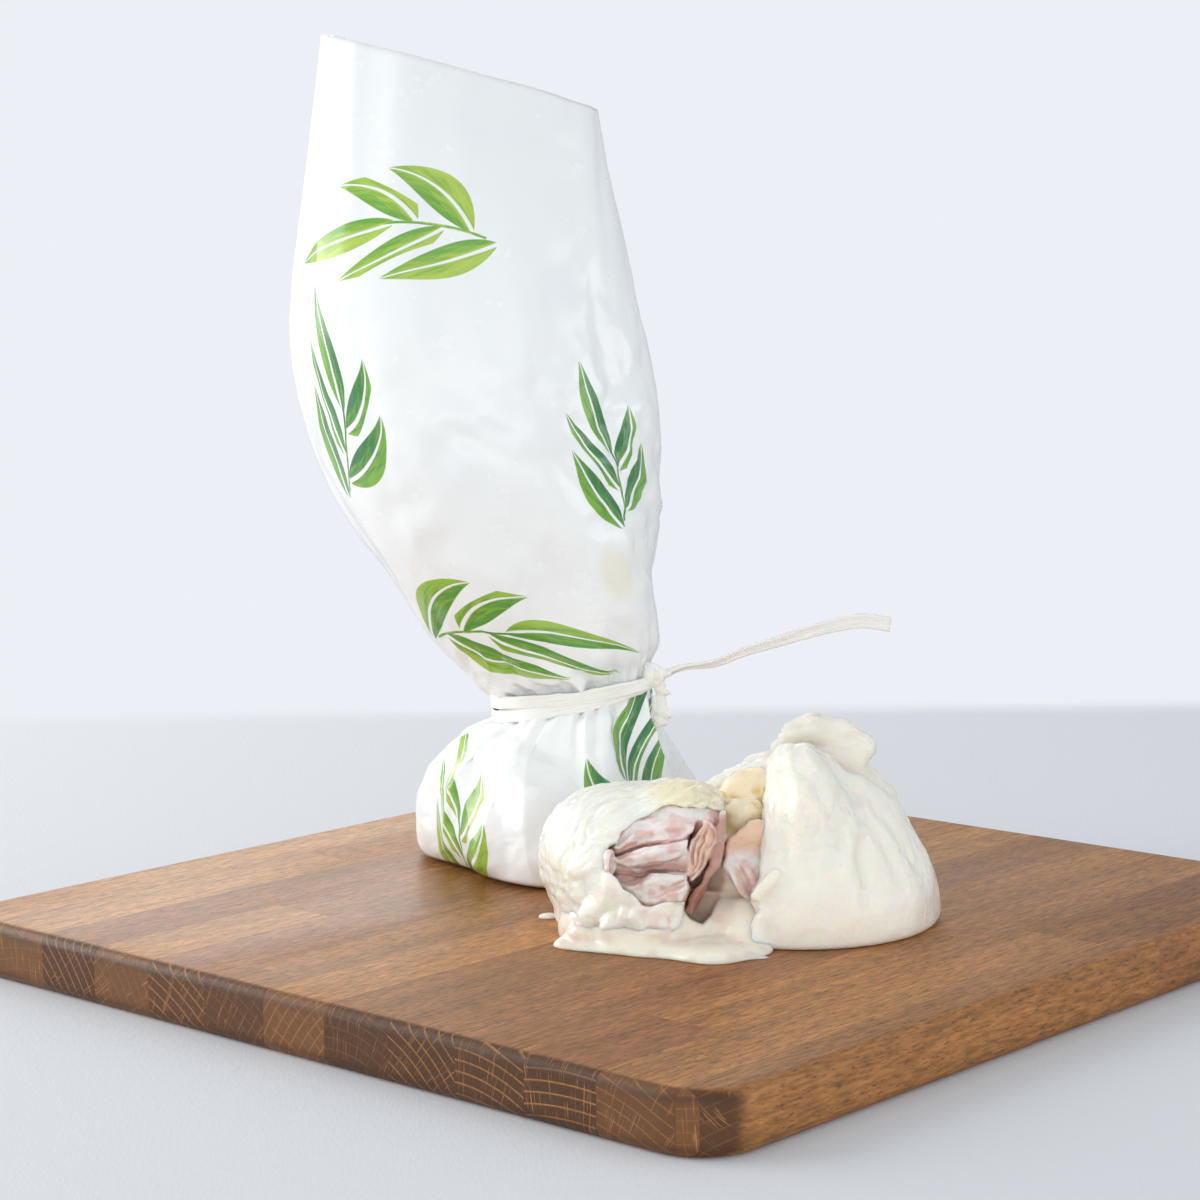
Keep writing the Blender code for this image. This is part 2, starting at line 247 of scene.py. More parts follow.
class Wiring:
    """Adds nodes to a tree. An input that is a socket is linked, and any other is set as it is."""

    def __init__(self, tree):
        self.tree = tree

    def add(self, kind, inputs=(), output=0, **settings):
        """A new node with its settings and its inputs: the output that is asked for."""
        node = self.tree.nodes.new(kind)
        for name, value in settings.items():
            setattr(node, name, value)
        for key, value in dict(inputs).items():
            self.feed(node.inputs[key], value)
        return node.outputs[output]

    def feed(self, socket, value):
        """Links a socket to a socket, or sets it to a plain value. A colour gets full opacity."""
        if isinstance(value, bpy.types.NodeSocket):
            self.tree.links.new(value, socket)
        elif isinstance(value, Color):
            socket.default_value = (*value, 1.0)
        else:
            socket.default_value = value

    def math(self, operation, *values, clamp=False):
        return self.add("ShaderNodeMath", enumerate(values), operation=operation, use_clamp=clamp)

    def drive(self, node, **inputs):
        """Feeds a node's inputs by name, with underscores for spaces."""
        for key, value in inputs.items():
            self.feed(node.inputs[key.replace("_", " ")], value)

    def times(self, first, *others):
        """The product of all the values, multiplied one after another."""
        for other in others:
            first = self.math("MULTIPLY", first, other)
        return first

    def scaled(self, value, factor, shift):
        """The value times the factor, plus the shift."""
        return self.math("MULTIPLY_ADD", value, factor, shift)

    def vector(self, operation, *values, output=0):
        return self.add("ShaderNodeVectorMath", enumerate(values), output, operation=operation)

    def split(self, vector):
        """The three parts of a vector."""
        node = self.tree.nodes.new("ShaderNodeSeparateXYZ")
        self.feed(node.inputs[0], vector)
        return node.outputs

    def join(self, x, y, z=0.0):
        """A vector of three parts."""
        return self.add("ShaderNodeCombineXYZ", {0: x, 1: y, 2: z})

    def stretch(self, vector, scale):
        """A vector with each part multiplied by its own scale."""
        return self.vector("MULTIPLY", vector, scale)

    def mix(self, factor, first, second, blend="MIX"):
        """The first colour at factor 0 and the second at 1."""
        inputs = {0: factor, 6: first, 7: second}
        return self.add("ShaderNodeMix", inputs, 2, data_type="RGBA", blend_type=blend)

    def mix_vectors(self, factor, first, second):
        """The first vector at factor 0 and the second at 1."""
        return self.add("ShaderNodeMix", {0: factor, 4: first, 5: second}, 1, data_type="VECTOR")

    def remap(self, value, low, high, start=0.0, end=1.0):
        """Start below low and end above high, with a smooth rise between."""
        inputs = {0: value, 1: low, 2: high, 3: start, 4: end}
        return self.add("ShaderNodeMapRange", inputs, interpolation_type="SMOOTHSTEP")

    def noise(self, vector, scale, detail=2.0, roughness=0.5, distortion=0.0):
        """Soft noise, 0 to 1, at a place that is multiplied by the scale."""
        keys = ("Vector", "Scale", "Detail", "Roughness", "Distortion")
        inputs = dict(zip(keys, (vector, scale, detail, roughness, distortion)))
        return self.add("ShaderNodeTexNoise", inputs)

    def random(self, vector, output="Value"):
        return self.add("ShaderNodeTexWhiteNoise", {"Vector": vector}, output, noise_dimensions="3D")

    def object_place(self):
        return self.add("ShaderNodeTexCoord", output="Object")

    def uv_place(self):
        return self.add("ShaderNodeTexCoord", output="UV")

    def mask(self, name, output="Fac"):
        """The piece's own number or vector at each vertex."""
        return self.add("ShaderNodeAttribute", output=output, attribute_name=name)

    def bump(self, height, distance, strength=1.0):
        """A normal from a height in the surface's own detail."""
        inputs = {"Height": height, "Distance": distance, "Strength": strength}
        return self.add("ShaderNodeBump", inputs)

    def use(self, group, **inputs):
        """The outputs of a group that is given these inputs."""
        node = self.tree.nodes.new("ShaderNodeGroup")
        node.node_tree = group
        self.drive(node, **inputs)
        return node.outputs


def effect_group(name, inputs, outputs, build):
    """A shader node group with named sockets, made once. build gets a Wiring and the group's inputs
    and returns the outputs' values by name."""
    if name in bpy.data.node_groups:
        return bpy.data.node_groups[name]
    group = bpy.data.node_groups.new(name, "ShaderNodeTree")
    kinds = {"value": "NodeSocketFloat", "vector": "NodeSocketVector"}
    for socket_name, kind, default in inputs:
        socket = group.interface.new_socket(socket_name, in_out="INPUT", socket_type=kinds[kind])
        if default is not None:
            socket.default_value = default
    for socket_name, kind in outputs:
        group.interface.new_socket(socket_name, in_out="OUTPUT", socket_type=kinds[kind])
    start = group.nodes.new("NodeGroupInput")
    end = group.nodes.new("NodeGroupOutput")
    made = build(Wiring(group), start.outputs)
    for socket_name, value in made.items():
        group.links.new(value, end.inputs[socket_name])
    return group


def plain_material(name, roughness, **sockets):
    """A material with a Principled shader: its wiring and the shader node."""
    made = bpy.data.materials.new(name)
    made.use_nodes = True
    shader = made.node_tree.nodes["Principled BSDF"]
    wiring = Wiring(made.node_tree)
    wiring.drive(shader, Roughness=roughness, **sockets)
    return made, wiring, shader


def place_piece(piece, material, slot, *nodes):
    """Gives the piece its material, sets it on the body and lets it stand for its CAD nodes."""
    piece.data.materials.append(material)
    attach(piece, "root")
    if nodes:
        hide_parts(*nodes)
    return piece


def colour_property(name, description, default):
    """A colour that the panel shows."""
    return FloatVectorProperty(
        name=name, description=description, default=default, min=0, max=1, size=3, subtype="COLOR"
    )


def length_property(name, description, default):
    """A length in metres that the panel shows."""
    return FloatProperty(name=name, description=description, default=default, unit="LENGTH")


# === Stage: camera, floor, light


class BurrataStageSettings(bpy.types.PropertyGroup):
    """Camera, floor and light"""

    eye: FloatVectorProperty(
        name="Eye", description="Where the camera stands", default=(0.5684, -0.6504, 0.216),
        subtype="XYZ", unit="LENGTH",
    )
    lens: FloatProperty(
        name="Lens", description="Focal length in millimetres", default=87.0, unit="CAMERA"
    )
    floor_colour: colour_property("Floor", "Colour of the table", (0.70, 0.71, 0.74))
    backdrop_colour: colour_property("Backdrop", "Colour behind the object", (0.845, 0.865, 0.92))
    fill_colour: colour_property("Fill", "Colour of the light from all sides", (0.90, 0.95, 1.0))
    fill_strength: FloatProperty(
        name="Fill Strength", description="Strength of the light from all sides", default=0.62
    )


VIEW_FORWARD = Vector((-0.6645, 0.7368, -0.1247)).normalized()
VIEW_UP = Vector((-0.0753, 0.0999, 0.9921))
FLOOR_FAR_EDGE = 0.47
FLOOR_REACH = 1.6
FLOOR_FADE = 0.05
FLOOR_SIDE_FADE = 0.4
FLOOR_STEPS = 33

# Soft lights: name, place, size, power in watts and colour. They face the middle of the object.
LIGHT_AIM = (0.0, 0.0, 0.08)
SOFT_LIGHTS = (
    ("key_left", (-1.10, -0.78, 0.62), (1.1, 1.0), 14.0, (1.0, 0.985, 0.96)),
    ("fill_front", (0.95, -1.2, 0.35), (1.6, 0.9), 2.2, (0.97, 0.985, 1.0)),
    ("top", (-0.1, 0.5, 1.7), (1.2, 1.2), 2.0, (1.0, 1.0, 1.0)),
    ("back_left", (-1.3, 0.75, 0.55), (1.3, 0.8), 5.0, (1.0, 0.99, 0.97)),
    ("right", (1.15, 0.62, 0.30), (1.0, 0.5), 2.4, (0.97, 0.985, 1.0)),
)
# A low light in front fills the torn mouth, and leaves no reflection of itself on the film
MOUTH_LIGHT = ("low_front", (0.67, -0.76, 0.11), (0.7, 0.25), 0.42, (1.0, 0.99, 0.97))
MOUTH_LIGHT_AIM = (0.045, -0.013, 0.04)
MOUTH_LIGHT_SPREAD = math.radians(60)


def look_from(eye, forward, up):
    """A matrix at the eye whose -Z axis is forward and whose Y axis is nearest to up."""
    back = -Vector(forward).normalized()
    right = Vector(up).cross(back).normalized()
    turn = Matrix((right, back.cross(right), back)).transposed().to_4x4()
    return Matrix.Translation(eye) @ turn


def make_camera(settings):
    """The camera at the eye, turned by the view's two directions."""
    lens = bpy.data.cameras.new("camera")
    lens.sensor_width = 36
    lens.lens = settings.lens
    lens.clip_start = 0.01
    camera = bpy.data.objects.new("camera", lens)
    camera.matrix_world = look_from(Vector(settings.eye), VIEW_FORWARD, VIEW_UP)
    bpy.context.scene.collection.objects.link(camera)
    bpy.context.scene.camera = camera
    return camera


def make_floor(settings):
    """A flat table: a grid of (side, depth) steps along the view's horizontal directions. It fades
    out at its edges, where the backdrop takes over."""
    depth_axis = np.array([VIEW_FORWARD.x, VIEW_FORWARD.y, 0.0]) / VIEW_FORWARD.xy.length
    side_axis = np.array([-depth_axis[1], depth_axis[0], 0.0])
    sides = np.linspace(-FLOOR_REACH, FLOOR_REACH, FLOOR_STEPS)
    depths = np.linspace(-FLOOR_REACH, FLOOR_FAR_EDGE, FLOOR_STEPS)
    depth, side = np.meshgrid(depths, sides, indexing="ij")
    points = depth[..., None] * depth_axis - side[..., None] * side_axis
    floor = grid_piece("floor", points, uv=stacked(side, depth))
    material, w, shader = plain_material(
        "table_top", 0.85, Base_Color=settings.floor_colour, Specular_IOR_Level=0.2
    )
    side, depth, _ = w.split(w.uv_place())
    far = w.remap(depth, FLOOR_FAR_EDGE, FLOOR_FAR_EDGE - FLOOR_FADE)
    near = w.remap(depth, -FLOOR_REACH, -FLOOR_REACH + FLOOR_SIDE_FADE)
    wide = w.remap(w.math("ABSOLUTE", side), FLOOR_REACH, FLOOR_REACH - FLOOR_SIDE_FADE)
    grain = w.noise(w.stretch(w.uv_place(), (1.0, 0.35, 1.0)), 900.0, 2.0)
    w.drive(shader, Alpha=w.times(far, near, wide), Normal=w.bump(grain, 0.0004, 0.25))
    floor.data.materials.append(material)
    return floor


def add_area_light(name, place, size, power, colour, aim=LIGHT_AIM):
    """A soft rectangular light at a place, turned to face its aim."""
    lamp = bpy.data.lights.new(name, "AREA")
    lamp.shape = "RECTANGLE"
    lamp.size, lamp.size_y = size
    lamp.energy = power
    lamp.color = colour
    light = bpy.data.objects.new(name, lamp)
    light.visible_camera = False
    light.matrix_world = look_from(Vector(place), Vector(aim) - Vector(place), (0.0, 0.0, 1.0))
    bpy.context.scene.collection.objects.link(light)
    return light


def make_world(settings):
    """A pale room: the camera sees the backdrop's colour, and the object gets a softer fill."""
    world = bpy.data.worlds.new("pale_room")
    world.use_nodes = True
    bpy.context.scene.world = world
    tree = world.node_tree
    w = Wiring(tree)
    fill = tree.nodes["Background"]
    w.drive(fill, Color=settings.fill_colour, Strength=settings.fill_strength)
    seen = w.add("ShaderNodeBackground", {"Color": settings.backdrop_colour, "Strength": 1.0})
    is_camera = w.add("ShaderNodeLightPath", output="Is Camera Ray")
    both = w.add("ShaderNodeMixShader", {0: is_camera, 1: fill.outputs[0], 2: seen})
    tree.links.new(both, tree.nodes["World Output"].inputs["Surface"])


class MakeBurrataStage(bpy.types.Operator):
    """Adds the camera, the table and the lights"""

    bl_idname = "burrata.stage"
    bl_label = "Stage"

    def execute(self, context):
        settings = context.scene.burrata_stage
        make_camera(settings)
        make_floor(settings)
        make_world(settings)
        for light in SOFT_LIGHTS:
            add_area_light(*light)
        low = add_area_light(*MOUTH_LIGHT, aim=MOUTH_LIGHT_AIM)
        low.data.spread = MOUTH_LIGHT_SPREAD
        low.visible_glossy = False
        context.scene.view_settings.view_transform = "Standard"
        return {"FINISHED"}


# === Tie: the ribbon round the neck, its knot and its long free end


class BurrataTieSettings(bpy.types.PropertyGroup):
    """The flat ribbon of the tie"""

    ribbon_colour: colour_property("Ribbon", "Ivory of the ribbon", (0.93, 0.935, 0.90))
    thread_colour: colour_property("Threads", "Duller threads along it", (0.85, 0.84, 0.78))
    ribbon_width: length_property("Width", "Width of the ribbon round the neck", 0.0048)
    ribbon_thickness: length_property("Thickness", "Thickness of the ribbon", 0.0009)


# Route of the free end, and the ribbon's width along it
TAIL_ROUTE = (
    (7.6, 44.0, 61.6, 2.6), (13.0, 44.0, 63.3, 2.3), (22.5, 44.5, 64.4, 3.1), (32.0, 45.5, 67.8, 3.4),
    (42.0, 46.5, 70.6, 3.7), (52.0, 47.5, 73.4, 4.1), (62.0, 48.0, 75.8, 4.4), (70.0, 48.0, 76.9, 4.8),
    (78.5, 48.0, 75.6, 4.8),
)

# Middle of the knot, and the way its short end hangs from there. The end is a rod in a space that
# is squashed, so that it comes out wide and thin.
KNOT_CENTRE = (2.6, 44.2, 60.8)
KNOT_END = ((1.5, -0.5, -1.5), (3.4, 0.4, -5.5), (2.2, 1.0, -9.5), (3.6, 0.6, -13.0), (2.6, 0.8, -15.5))
KNOT_SQUASH = (0.62, 1.5, 1.0)


def ribbon_profile(width, thickness):
    """Offsets round a flat ribbon: a squared oval with two shallow ribs along each face. They run
    clockwise, so that the ribbon's faces point outward."""
    turn = np.linspace(2 * math.pi, 0, 32, endpoint=False)
    side = np.sign(np.cos(turn)) * np.abs(np.cos(turn)) ** 0.6 * width / 2
    ribs = 1 - 0.28 * (1 - np.cos(side / width * 6 * math.pi)) / 2
    up = np.sign(np.sin(turn)) * np.abs(np.sin(turn)) ** 0.5 * thickness / 2 * ribs
    return np.column_stack([side, up])


def ribbon_material(settings):
    """Matt woven film with fine threads along it."""
    material, w, shader = plain_material(
        "ivory_ribbon", 0.5, Subsurface_Weight=0.25, Subsurface_Scale=0.001
    )
    threads = w.noise(w.stretch(w.uv_place(), (60.0, 1300.0, 1.0)), 1.0, 2.0)
    tint = w.remap(threads, 0.3, 0.7)
    colour = w.mix(tint, settings.thread_colour, settings.ribbon_colour)
    w.drive(shader, Base_Color=colour, Normal=w.bump(threads, 0.0001, 0.35))
    return material


def ribbon_uv(path, profile):
    """Distance along the path, and side across the ribbon, for its threads."""
    steps = np.linalg.norm(np.diff(path, axis=0), axis=-1)
    along = np.concatenate([[0], np.cumsum(steps)])
    uv = np.zeros((len(path), len(profile) + 1, 2))
    uv[..., 0] = along[:, None] * MM
    uv[..., 1] = np.append(profile[:, 0], profile[0, 0])[None] * MM
    return uv


def make_band(settings, name, shift, out, phase, material):
    """One turn of ribbon round the neck: its profile carried round the gathered film, shifted up and
    held out from it by the given millimetres, with a slow waver that starts at the phase."""
    turns = np.linspace(0, 2 * math.pi, 181)[:-1]
    ring = film_surface(np.array([float(NECK_SECTION)]), turns, 0.0)[0]
    centre = ring.mean(axis=0)
    outward = unit((ring - centre) * (1, 1, 0))
    circle = stacked(np.cos(turns), np.sin(turns))
    waver = soft_noise(circle * 2.2 + phase, 171)
    path = ring + outward * (out + 0.35 * waver)[:, None]
    path[:, 2] += shift + 1.1 * np.cos(turns - phase) + 0.5 * soft_noise(circle * 1.6 + phase, 172)
    closed = np.vstack([path, path[:1]])
    ahead = unit(np.roll(path, -1, axis=0) - np.roll(path, 1, axis=0))
    lean = 0.35 * soft_noise(circle * 2.0 + phase, 173)[:, None]
    sides = unit(np.cross(ahead, outward) + outward * lean)
    ups = np.cross(sides, ahead)
    profile = ribbon_profile(settings.ribbon_width / MM, settings.ribbon_thickness / MM)
    squeeze = 1 - 0.25 * np.abs(soft_noise(circle * 2.6 + phase, 174))
    shape = profile[None] * stacked(squeeze, 1 / squeeze)[:, None]
    points = carry_profile(path, shape, sides, ups)
    points = np.concatenate([points, points[:1]])
    piece = grid_piece(name, to_row(points), wrap=True, uv=ribbon_uv(closed, profile))
    return place_piece(piece, material, "tie", "tie_band")


def knot_form(points):
    """The knot: two loops of ribbon drawn tight over a lump, and its short crumpled end."""
    place = points - np.array(KNOT_CENTRE, points.dtype)
    x, y, z = np.moveaxis(place, -1, 0)
    form = egg(place, (0.0, 1.2, 0.0), (3.6, 3.0, 3.0))
    across = np.hypot(np.hypot(x - 0.4, z) - 2.5, y + 0.6)
    form = melt(form, np.maximum(across - 1.15, np.abs(y + 0.6) - 1.3), 0.5)
    upright = np.hypot(np.hypot(y, z * 0.9) - 2.9, (x + 0.9) * 0.55)
    form = melt(form, upright - 0.85, 0.4)
    form = melt(form, rod(place, (2.4, -0.4, 0.0), (6.2, -0.2, 1.0), 1.8, 1.15), 0.9)
    flat = place * np.array(KNOT_SQUASH, points.dtype)
    route = np.multiply(KNOT_END, KNOT_SQUASH)
    end = melt_all([rod(flat, a, b, 1.25, 1.4) for a, b in zip(route[:-1], route[1:])], 0.5)
    crimp = 0.12 * np.sin(z * 1.9 + x * 0.8) + 0.5 * soft_noise(place / 2.2, 175)
    form = melt(form, end + crimp * ramp(-z, 2.0, 5.0), 0.6)
    return form + 0.06 * np.sin((x * 0.7 + z) * 4.2)


def make_knot(settings, material):
    """The knot's surface, with threads that run up and down it."""
    vertices, quads = surface_net(knot_form, (-4.0, 38.5, 42.0), (9.5, 50.0, 66.0), 0.36)
    piece = mesh_piece("tie_knot", to_row(vertices), quads.tolist())
    uv = piece.data.uv_layers.new(name="UVMap")
    loops = np.zeros(len(piece.data.loops), int)
    piece.data.loops.foreach_get("vertex_index", loops)
    flat = np.column_stack([vertices[:, 2], vertices[:, 0]]) * MM
    uv.data.foreach_set("uv", flat[loops].astype(np.float32).ravel())
    return place_piece(piece, material, "tie", "tie_band")


def make_tail(settings, material):
    """The long free end: a stiff ribbon that widens and turns as it rises, cut square at its tip."""
    fine = smooth_rows(TAIL_ROUTE, 97)
    path, widths = fine[:, :3], fine[:, 3]
    ahead = unit(np.gradient(path, axis=0))
    share = np.linspace(0, 1, len(path))
    twist = np.radians(np.interp(share, (0.0, 0.25, 0.6, 1.0), (65.0, 35.0, 12.0, -8.0)))
    upright = unit(np.array([0.0, 0.0, 1.0]) - ahead * ahead[:, 2:3])
    level = np.cross(ahead, upright)
    sides = upright * np.cos(twist)[:, None] + level * np.sin(twist)[:, None]
    ups = np.cross(sides, ahead)
    profile = ribbon_profile(1.0, 1.0)
    thick = settings.ribbon_thickness / MM * (1.9 - 0.9 * ramp(share, 0.0, 0.35))
    shape = profile[None] * stacked(widths, thick)[:, None]
    # a lengthwise fold: the lower half of the ribbon leans back
    shape[..., 1] -= 0.16 * np.abs(shape[..., 0]) * ramp(shape[..., 0], 0.3, -0.3)
    points = carry_profile(path, shape, sides, ups)
    uv = ribbon_uv(path, profile * 4.0)
    piece = grid_piece("tie_tail_ribbon", to_row(points), wrap=True, ends=(True, True), uv=uv)
    place_piece(piece, material, "tie", "tie_tail")
    return piece


class MakeBurrataTie(bpy.types.Operator):
    """Adds the tie: two turns of ribbon, the knot and the long free end"""

    bl_idname = "burrata.tie"
    bl_label = "Tie"

    def execute(self, context):
        settings = context.scene.burrata_tie
        material = ribbon_material(settings)
        make_tail(settings, material)
        make_band(settings, "tie_turn_lower", -1.3, 1.5, 0.4, material)
        make_band(settings, "tie_turn_upper", 1.2, 2.3, 2.9, material)
        make_knot(settings, material)
        return {"FINISHED"}


# === Board


class BurrataBoardSettings(bpy.types.PropertyGroup):
    """The laminated board"""

    stave_width: length_property("Stave Width", "Width of one stave", 0.024)
    corner_radius: length_property("Corner Radius", "Radius of the board's corners", 0.018)
    edge_round: length_property("Edge Round", "Radius of its rounded rims", 0.0035)
    light_wood: colour_property("Light Wood", "Palest staves", (0.49, 0.226, 0.062))
    dark_wood: colour_property("Dark Wood", "Darkest staves", (0.275, 0.114, 0.033))
    red_wood: colour_property("Red Wood", "Reddish cast of some staves", (0.36, 0.13, 0.06))
    end_grain: colour_property("End Grain", "Darkest oiled end grain", (0.060, 0.026, 0.011))
    pale_end: colour_property("Pale End Grain", "Palest oiled end grain", (0.17, 0.072, 0.027))
    scorch_colour: colour_property("Scorch", "Darkened rims of the cut ends", (0.050, 0.024, 0.013))
    joint_colour: colour_property("Joints", "Glue lines", (0.07, 0.03, 0.015))
    ray_colour: colour_property("Rays", "Pale rays of the end grain", (0.46, 0.20, 0.065))


def rounded_square(half, radius, straight, arc):
    """Points round a square with arc corners: four quarter circles joined by straight runs."""
    turns = np.linspace(0, math.pi / 2, arc + 1)
    run = np.linspace(-1, 1, straight + 1)[1:-1]
    points = []
    for side in range(4):
        turn = side * math.pi / 2
        middle = half - radius
        corner = np.column_stack([middle + radius * np.cos(turns), middle + radius * np.sin(turns)])
        edge = np.column_stack([-run * middle, np.full(len(run), half)])
        local = np.vstack([corner, edge])
        spin = np.array([[math.cos(turn), -math.sin(turn)], [math.sin(turn), math.cos(turn)]])
        points.append(local @ spin.T)
    return np.vstack(points)


RIM_STEPS = 6
WALL_STEPS = 7
RIM_WEAR = 0.00012
# Insets of the rings on the two flat faces, as shares of half the board's width
FACE_INSETS = (0.98, 0.75, 0.5, 0.25, 0.1)


def board_points(settings):
    """Rings of the board: the rounded square drawn in by each profile step's inset, at its height.
    The profile runs from the middle of the underside round the rims to the middle of the top."""
    half = (BOARD_HIGH.x - BOARD_LOW.x) / 2
    height = BOARD_HIGH.z - BOARD_LOW.z
    rim = settings.edge_round
    turns = np.linspace(0, math.pi / 2, RIM_STEPS + 1)
    flat = np.array(FACE_INSETS) * half
    lower = np.column_stack([rim - rim * np.sin(turns), rim - rim * np.cos(turns)])
    upper = np.column_stack([rim - rim * np.cos(turns), height - rim + rim * np.sin(turns)])
    wall_levels = np.linspace(rim, height - rim, WALL_STEPS + 1)[1:-1]
    wall = np.column_stack([np.zeros_like(wall_levels), wall_levels])
    below = np.column_stack([flat, np.zeros_like(flat)])
    above = np.column_stack([flat[::-1], np.full_like(flat, height)])
    profile = np.vstack([below, lower, wall, upper, above])
    rings = []
    for inset, level in profile:
        radius = max(settings.corner_radius - inset, half * 0.001)
        outline = rounded_square(half - inset, min(radius, half - inset), 40, 12)
        rings.append(np.column_stack([outline, np.full(len(outline), BOARD_LOW.z + level)]))
    points = np.array(rings)
    wear = cloud_noise(points * 90, 2, seed=3)[..., None] * RIM_WEAR
    on_rim = ((points[..., 2] > BOARD_LOW.z + 0.0005) & (points[..., 2] < BOARD_HIGH.z - 1e-6))[..., None]
    outward = unit((points - points.mean(axis=1, keepdims=True)) * (1, 1, 0))
    return points - outward * (np.abs(wear) * on_rim)


def stave_group():
    """Laminated wood as a solid: staves side by side along X and end to end along Y. Each piece has
    growth rings round a heart line of its own, with fibres, pores and rays."""

    def build(w, given):
        place = given["Place"]
        width = given["Stave Width"]
        x, y, z = w.split(place)
        column = w.math("FLOOR", w.math("ADD", w.math("DIVIDE", x, width), 0.25))
        column_seed = w.random(w.join(column, 3.7, 1.1))
        length = w.scaled(column_seed, 0.11, 0.15)
        row = w.math("FLOOR", w.math("DIVIDE", w.scaled(column_seed, 0.37, y), length))
        identity = w.join(column, row, 5.0)
        tone = w.random(identity)
        tone_b = w.random(w.join(row, column, 9.0))
        heart = w.random(w.join(column, 8.0, row), "Color")
        heart_x, heart_y, _ = w.split(heart)
        # heart line: up to 60 mm to either side of the stave and 15 to 75 mm below it
        across = w.math("SUBTRACT", x, w.times(column, width))
        from_x = w.math("ADD", across, w.scaled(heart_x, 0.12, -0.06))
        from_z = w.math("ADD", z, w.scaled(heart_y, 0.06, 0.015))
        sway = w.noise(w.stretch(place, (6.0, 2.2, 6.0)), 1.0, 2.0)
        radius = w.vector("LENGTH", w.join(from_x, 0.0, from_z), output=1)
        radius = w.scaled(sway, 0.012, radius)
        ring = w.math("FRACT", w.times(radius, 330.0))
        late_wood = w.math("POWER", ring, 4.0)
        shifted = w.vector("ADD", place, w.stretch(heart, (9.0, 9.0, 9.0)))
        fibre = w.noise(w.stretch(shifted, (1000.0, 150.0, 1000.0)), 1.0, 3.0, 0.65)
        streak = w.noise(w.stretch(shifted, (130.0, 9.0, 130.0)), 1.0, 3.0, 0.6)
        pore_noise = w.noise(w.stretch(shifted, (1700.0, 330.0, 1700.0)), 1.0, 1.0)
        pore = w.remap(pore_noise, 0.60, 0.72)
        angle = w.math("ARCTAN2", from_x, from_z)
        ray_place = w.join(w.times(angle, 42.0), w.times(radius, 60.0), tone)
        ray_wide = w.noise(ray_place, 2.0, 2.0, 0.6, 0.3)
        ray_fine = w.noise(w.join(w.times(angle, 130.0), radius, tone_b), 2.0, 2.0)
        ray = w.times(w.remap(ray_wide, 0.50, 0.64), w.remap(ray_fine, 0.48, 0.66))
        edge = w.math("ABSOLUTE", w.math("SUBTRACT", w.math("DIVIDE", across, width), 0.25))
        joint = w.remap(edge, 0.492, 0.4985)
        return {
            "Tone": tone,
            "Tone B": tone_b,
            "Late Wood": late_wood,
            "Fibre": fibre,
            "Streak": streak,
            "Pore": pore,
            "Ray": ray,
            "Joint": joint,
        }

    outputs = ["Tone", "Tone B", "Late Wood", "Fibre", "Streak", "Pore", "Ray", "Joint"]
    return effect_group(
        "laminated_wood",
        [("Place", "vector", None), ("Stave Width", "value", 0.024)],
        [(name, "value") for name in outputs],
        build,
    )


def board_material(settings):
    """Oiled wood: long grain on the faces, and rings with pale rays on the two cut ends, whose rims
    are scorched."""
    material, w, shader = plain_material("oiled_beech", 0.45, Specular_IOR_Level=0.32)
    place = w.object_place()
    wood = w.use(stave_group(), Place=place, Stave_Width=settings.stave_width)
    long_grain = w.mix(wood["Tone"], settings.dark_wood, settings.light_wood)
    long_grain = w.mix(w.times(wood["Tone B"], 0.35), long_grain, settings.red_wood)
    contrast = w.times(
        w.remap(wood["Streak"], 0.3, 0.72, 0.82, 1.13),
        w.remap(wood["Fibre"], 0.25, 0.75, 0.60, 1.34),
        w.scaled(wood["Late Wood"], -0.10, 1.03),
        w.scaled(wood["Pore"], -0.45, 1.0),
    )
    grey = w.join(contrast, contrast, contrast)
    long_grain = w.mix(1.0, long_grain, grey, "MULTIPLY")
    cut = w.mix(wood["Tone"], settings.end_grain, settings.pale_end)
    arc = w.times(
        w.remap(wood["Late Wood"], 0.35, 0.8), w.remap(wood["Tone B"], 0.15, 0.75, 0.15, 0.7)
    )
    pale = w.math("MAXIMUM", arc, w.times(wood["Ray"], 0.9))
    pale = w.times(pale, w.remap(wood["Fibre"], 0.25, 0.6, 0.45, 1.0))
    cut = w.mix(pale, cut, settings.ray_colour)
    normal = w.split(w.add("ShaderNodeTexCoord", output="Normal"))
    is_cut = w.remap(w.math("ABSOLUTE", normal[1]), 0.12, 0.45)
    colour = w.mix(is_cut, long_grain, cut)
    height = w.split(place)[2]
    patchy = w.noise(w.stretch(place, (30.0, 30.0, 90.0)), 1.0, 3.0)
    upright = w.remap(w.math("ABSOLUTE", normal[2]), 0.75, 0.3)
    middle = (BOARD_LOW.z + BOARD_HIGH.z) / 2
    off_middle = w.math("ABSOLUTE", w.math("SUBTRACT", height, middle))
    scorch = w.times(
        w.remap(off_middle, 0.0035, 0.0078),
        upright,
        w.remap(patchy, 0.3, 0.6, 0.35, 0.9),
        w.scaled(is_cut, 0.75, 0.25),
    )
    colour = w.mix(scorch, colour, settings.scorch_colour)
    colour = w.mix(w.times(wood["Joint"], 0.55), colour, settings.joint_colour)
    shine = w.remap(w.noise(w.stretch(place, (12.0, 4.0, 12.0)), 1.0, 2.0), 0.3, 0.7, 0.36, 0.52)
    relief = w.scaled(wood["Pore"], -0.8, wood["Fibre"])
    relief = w.scaled(wood["Joint"], -0.6, relief)
    w.drive(shader, Base_Color=colour, Roughness=shine, Normal=w.bump(relief, 0.00012, 0.55))
    return material


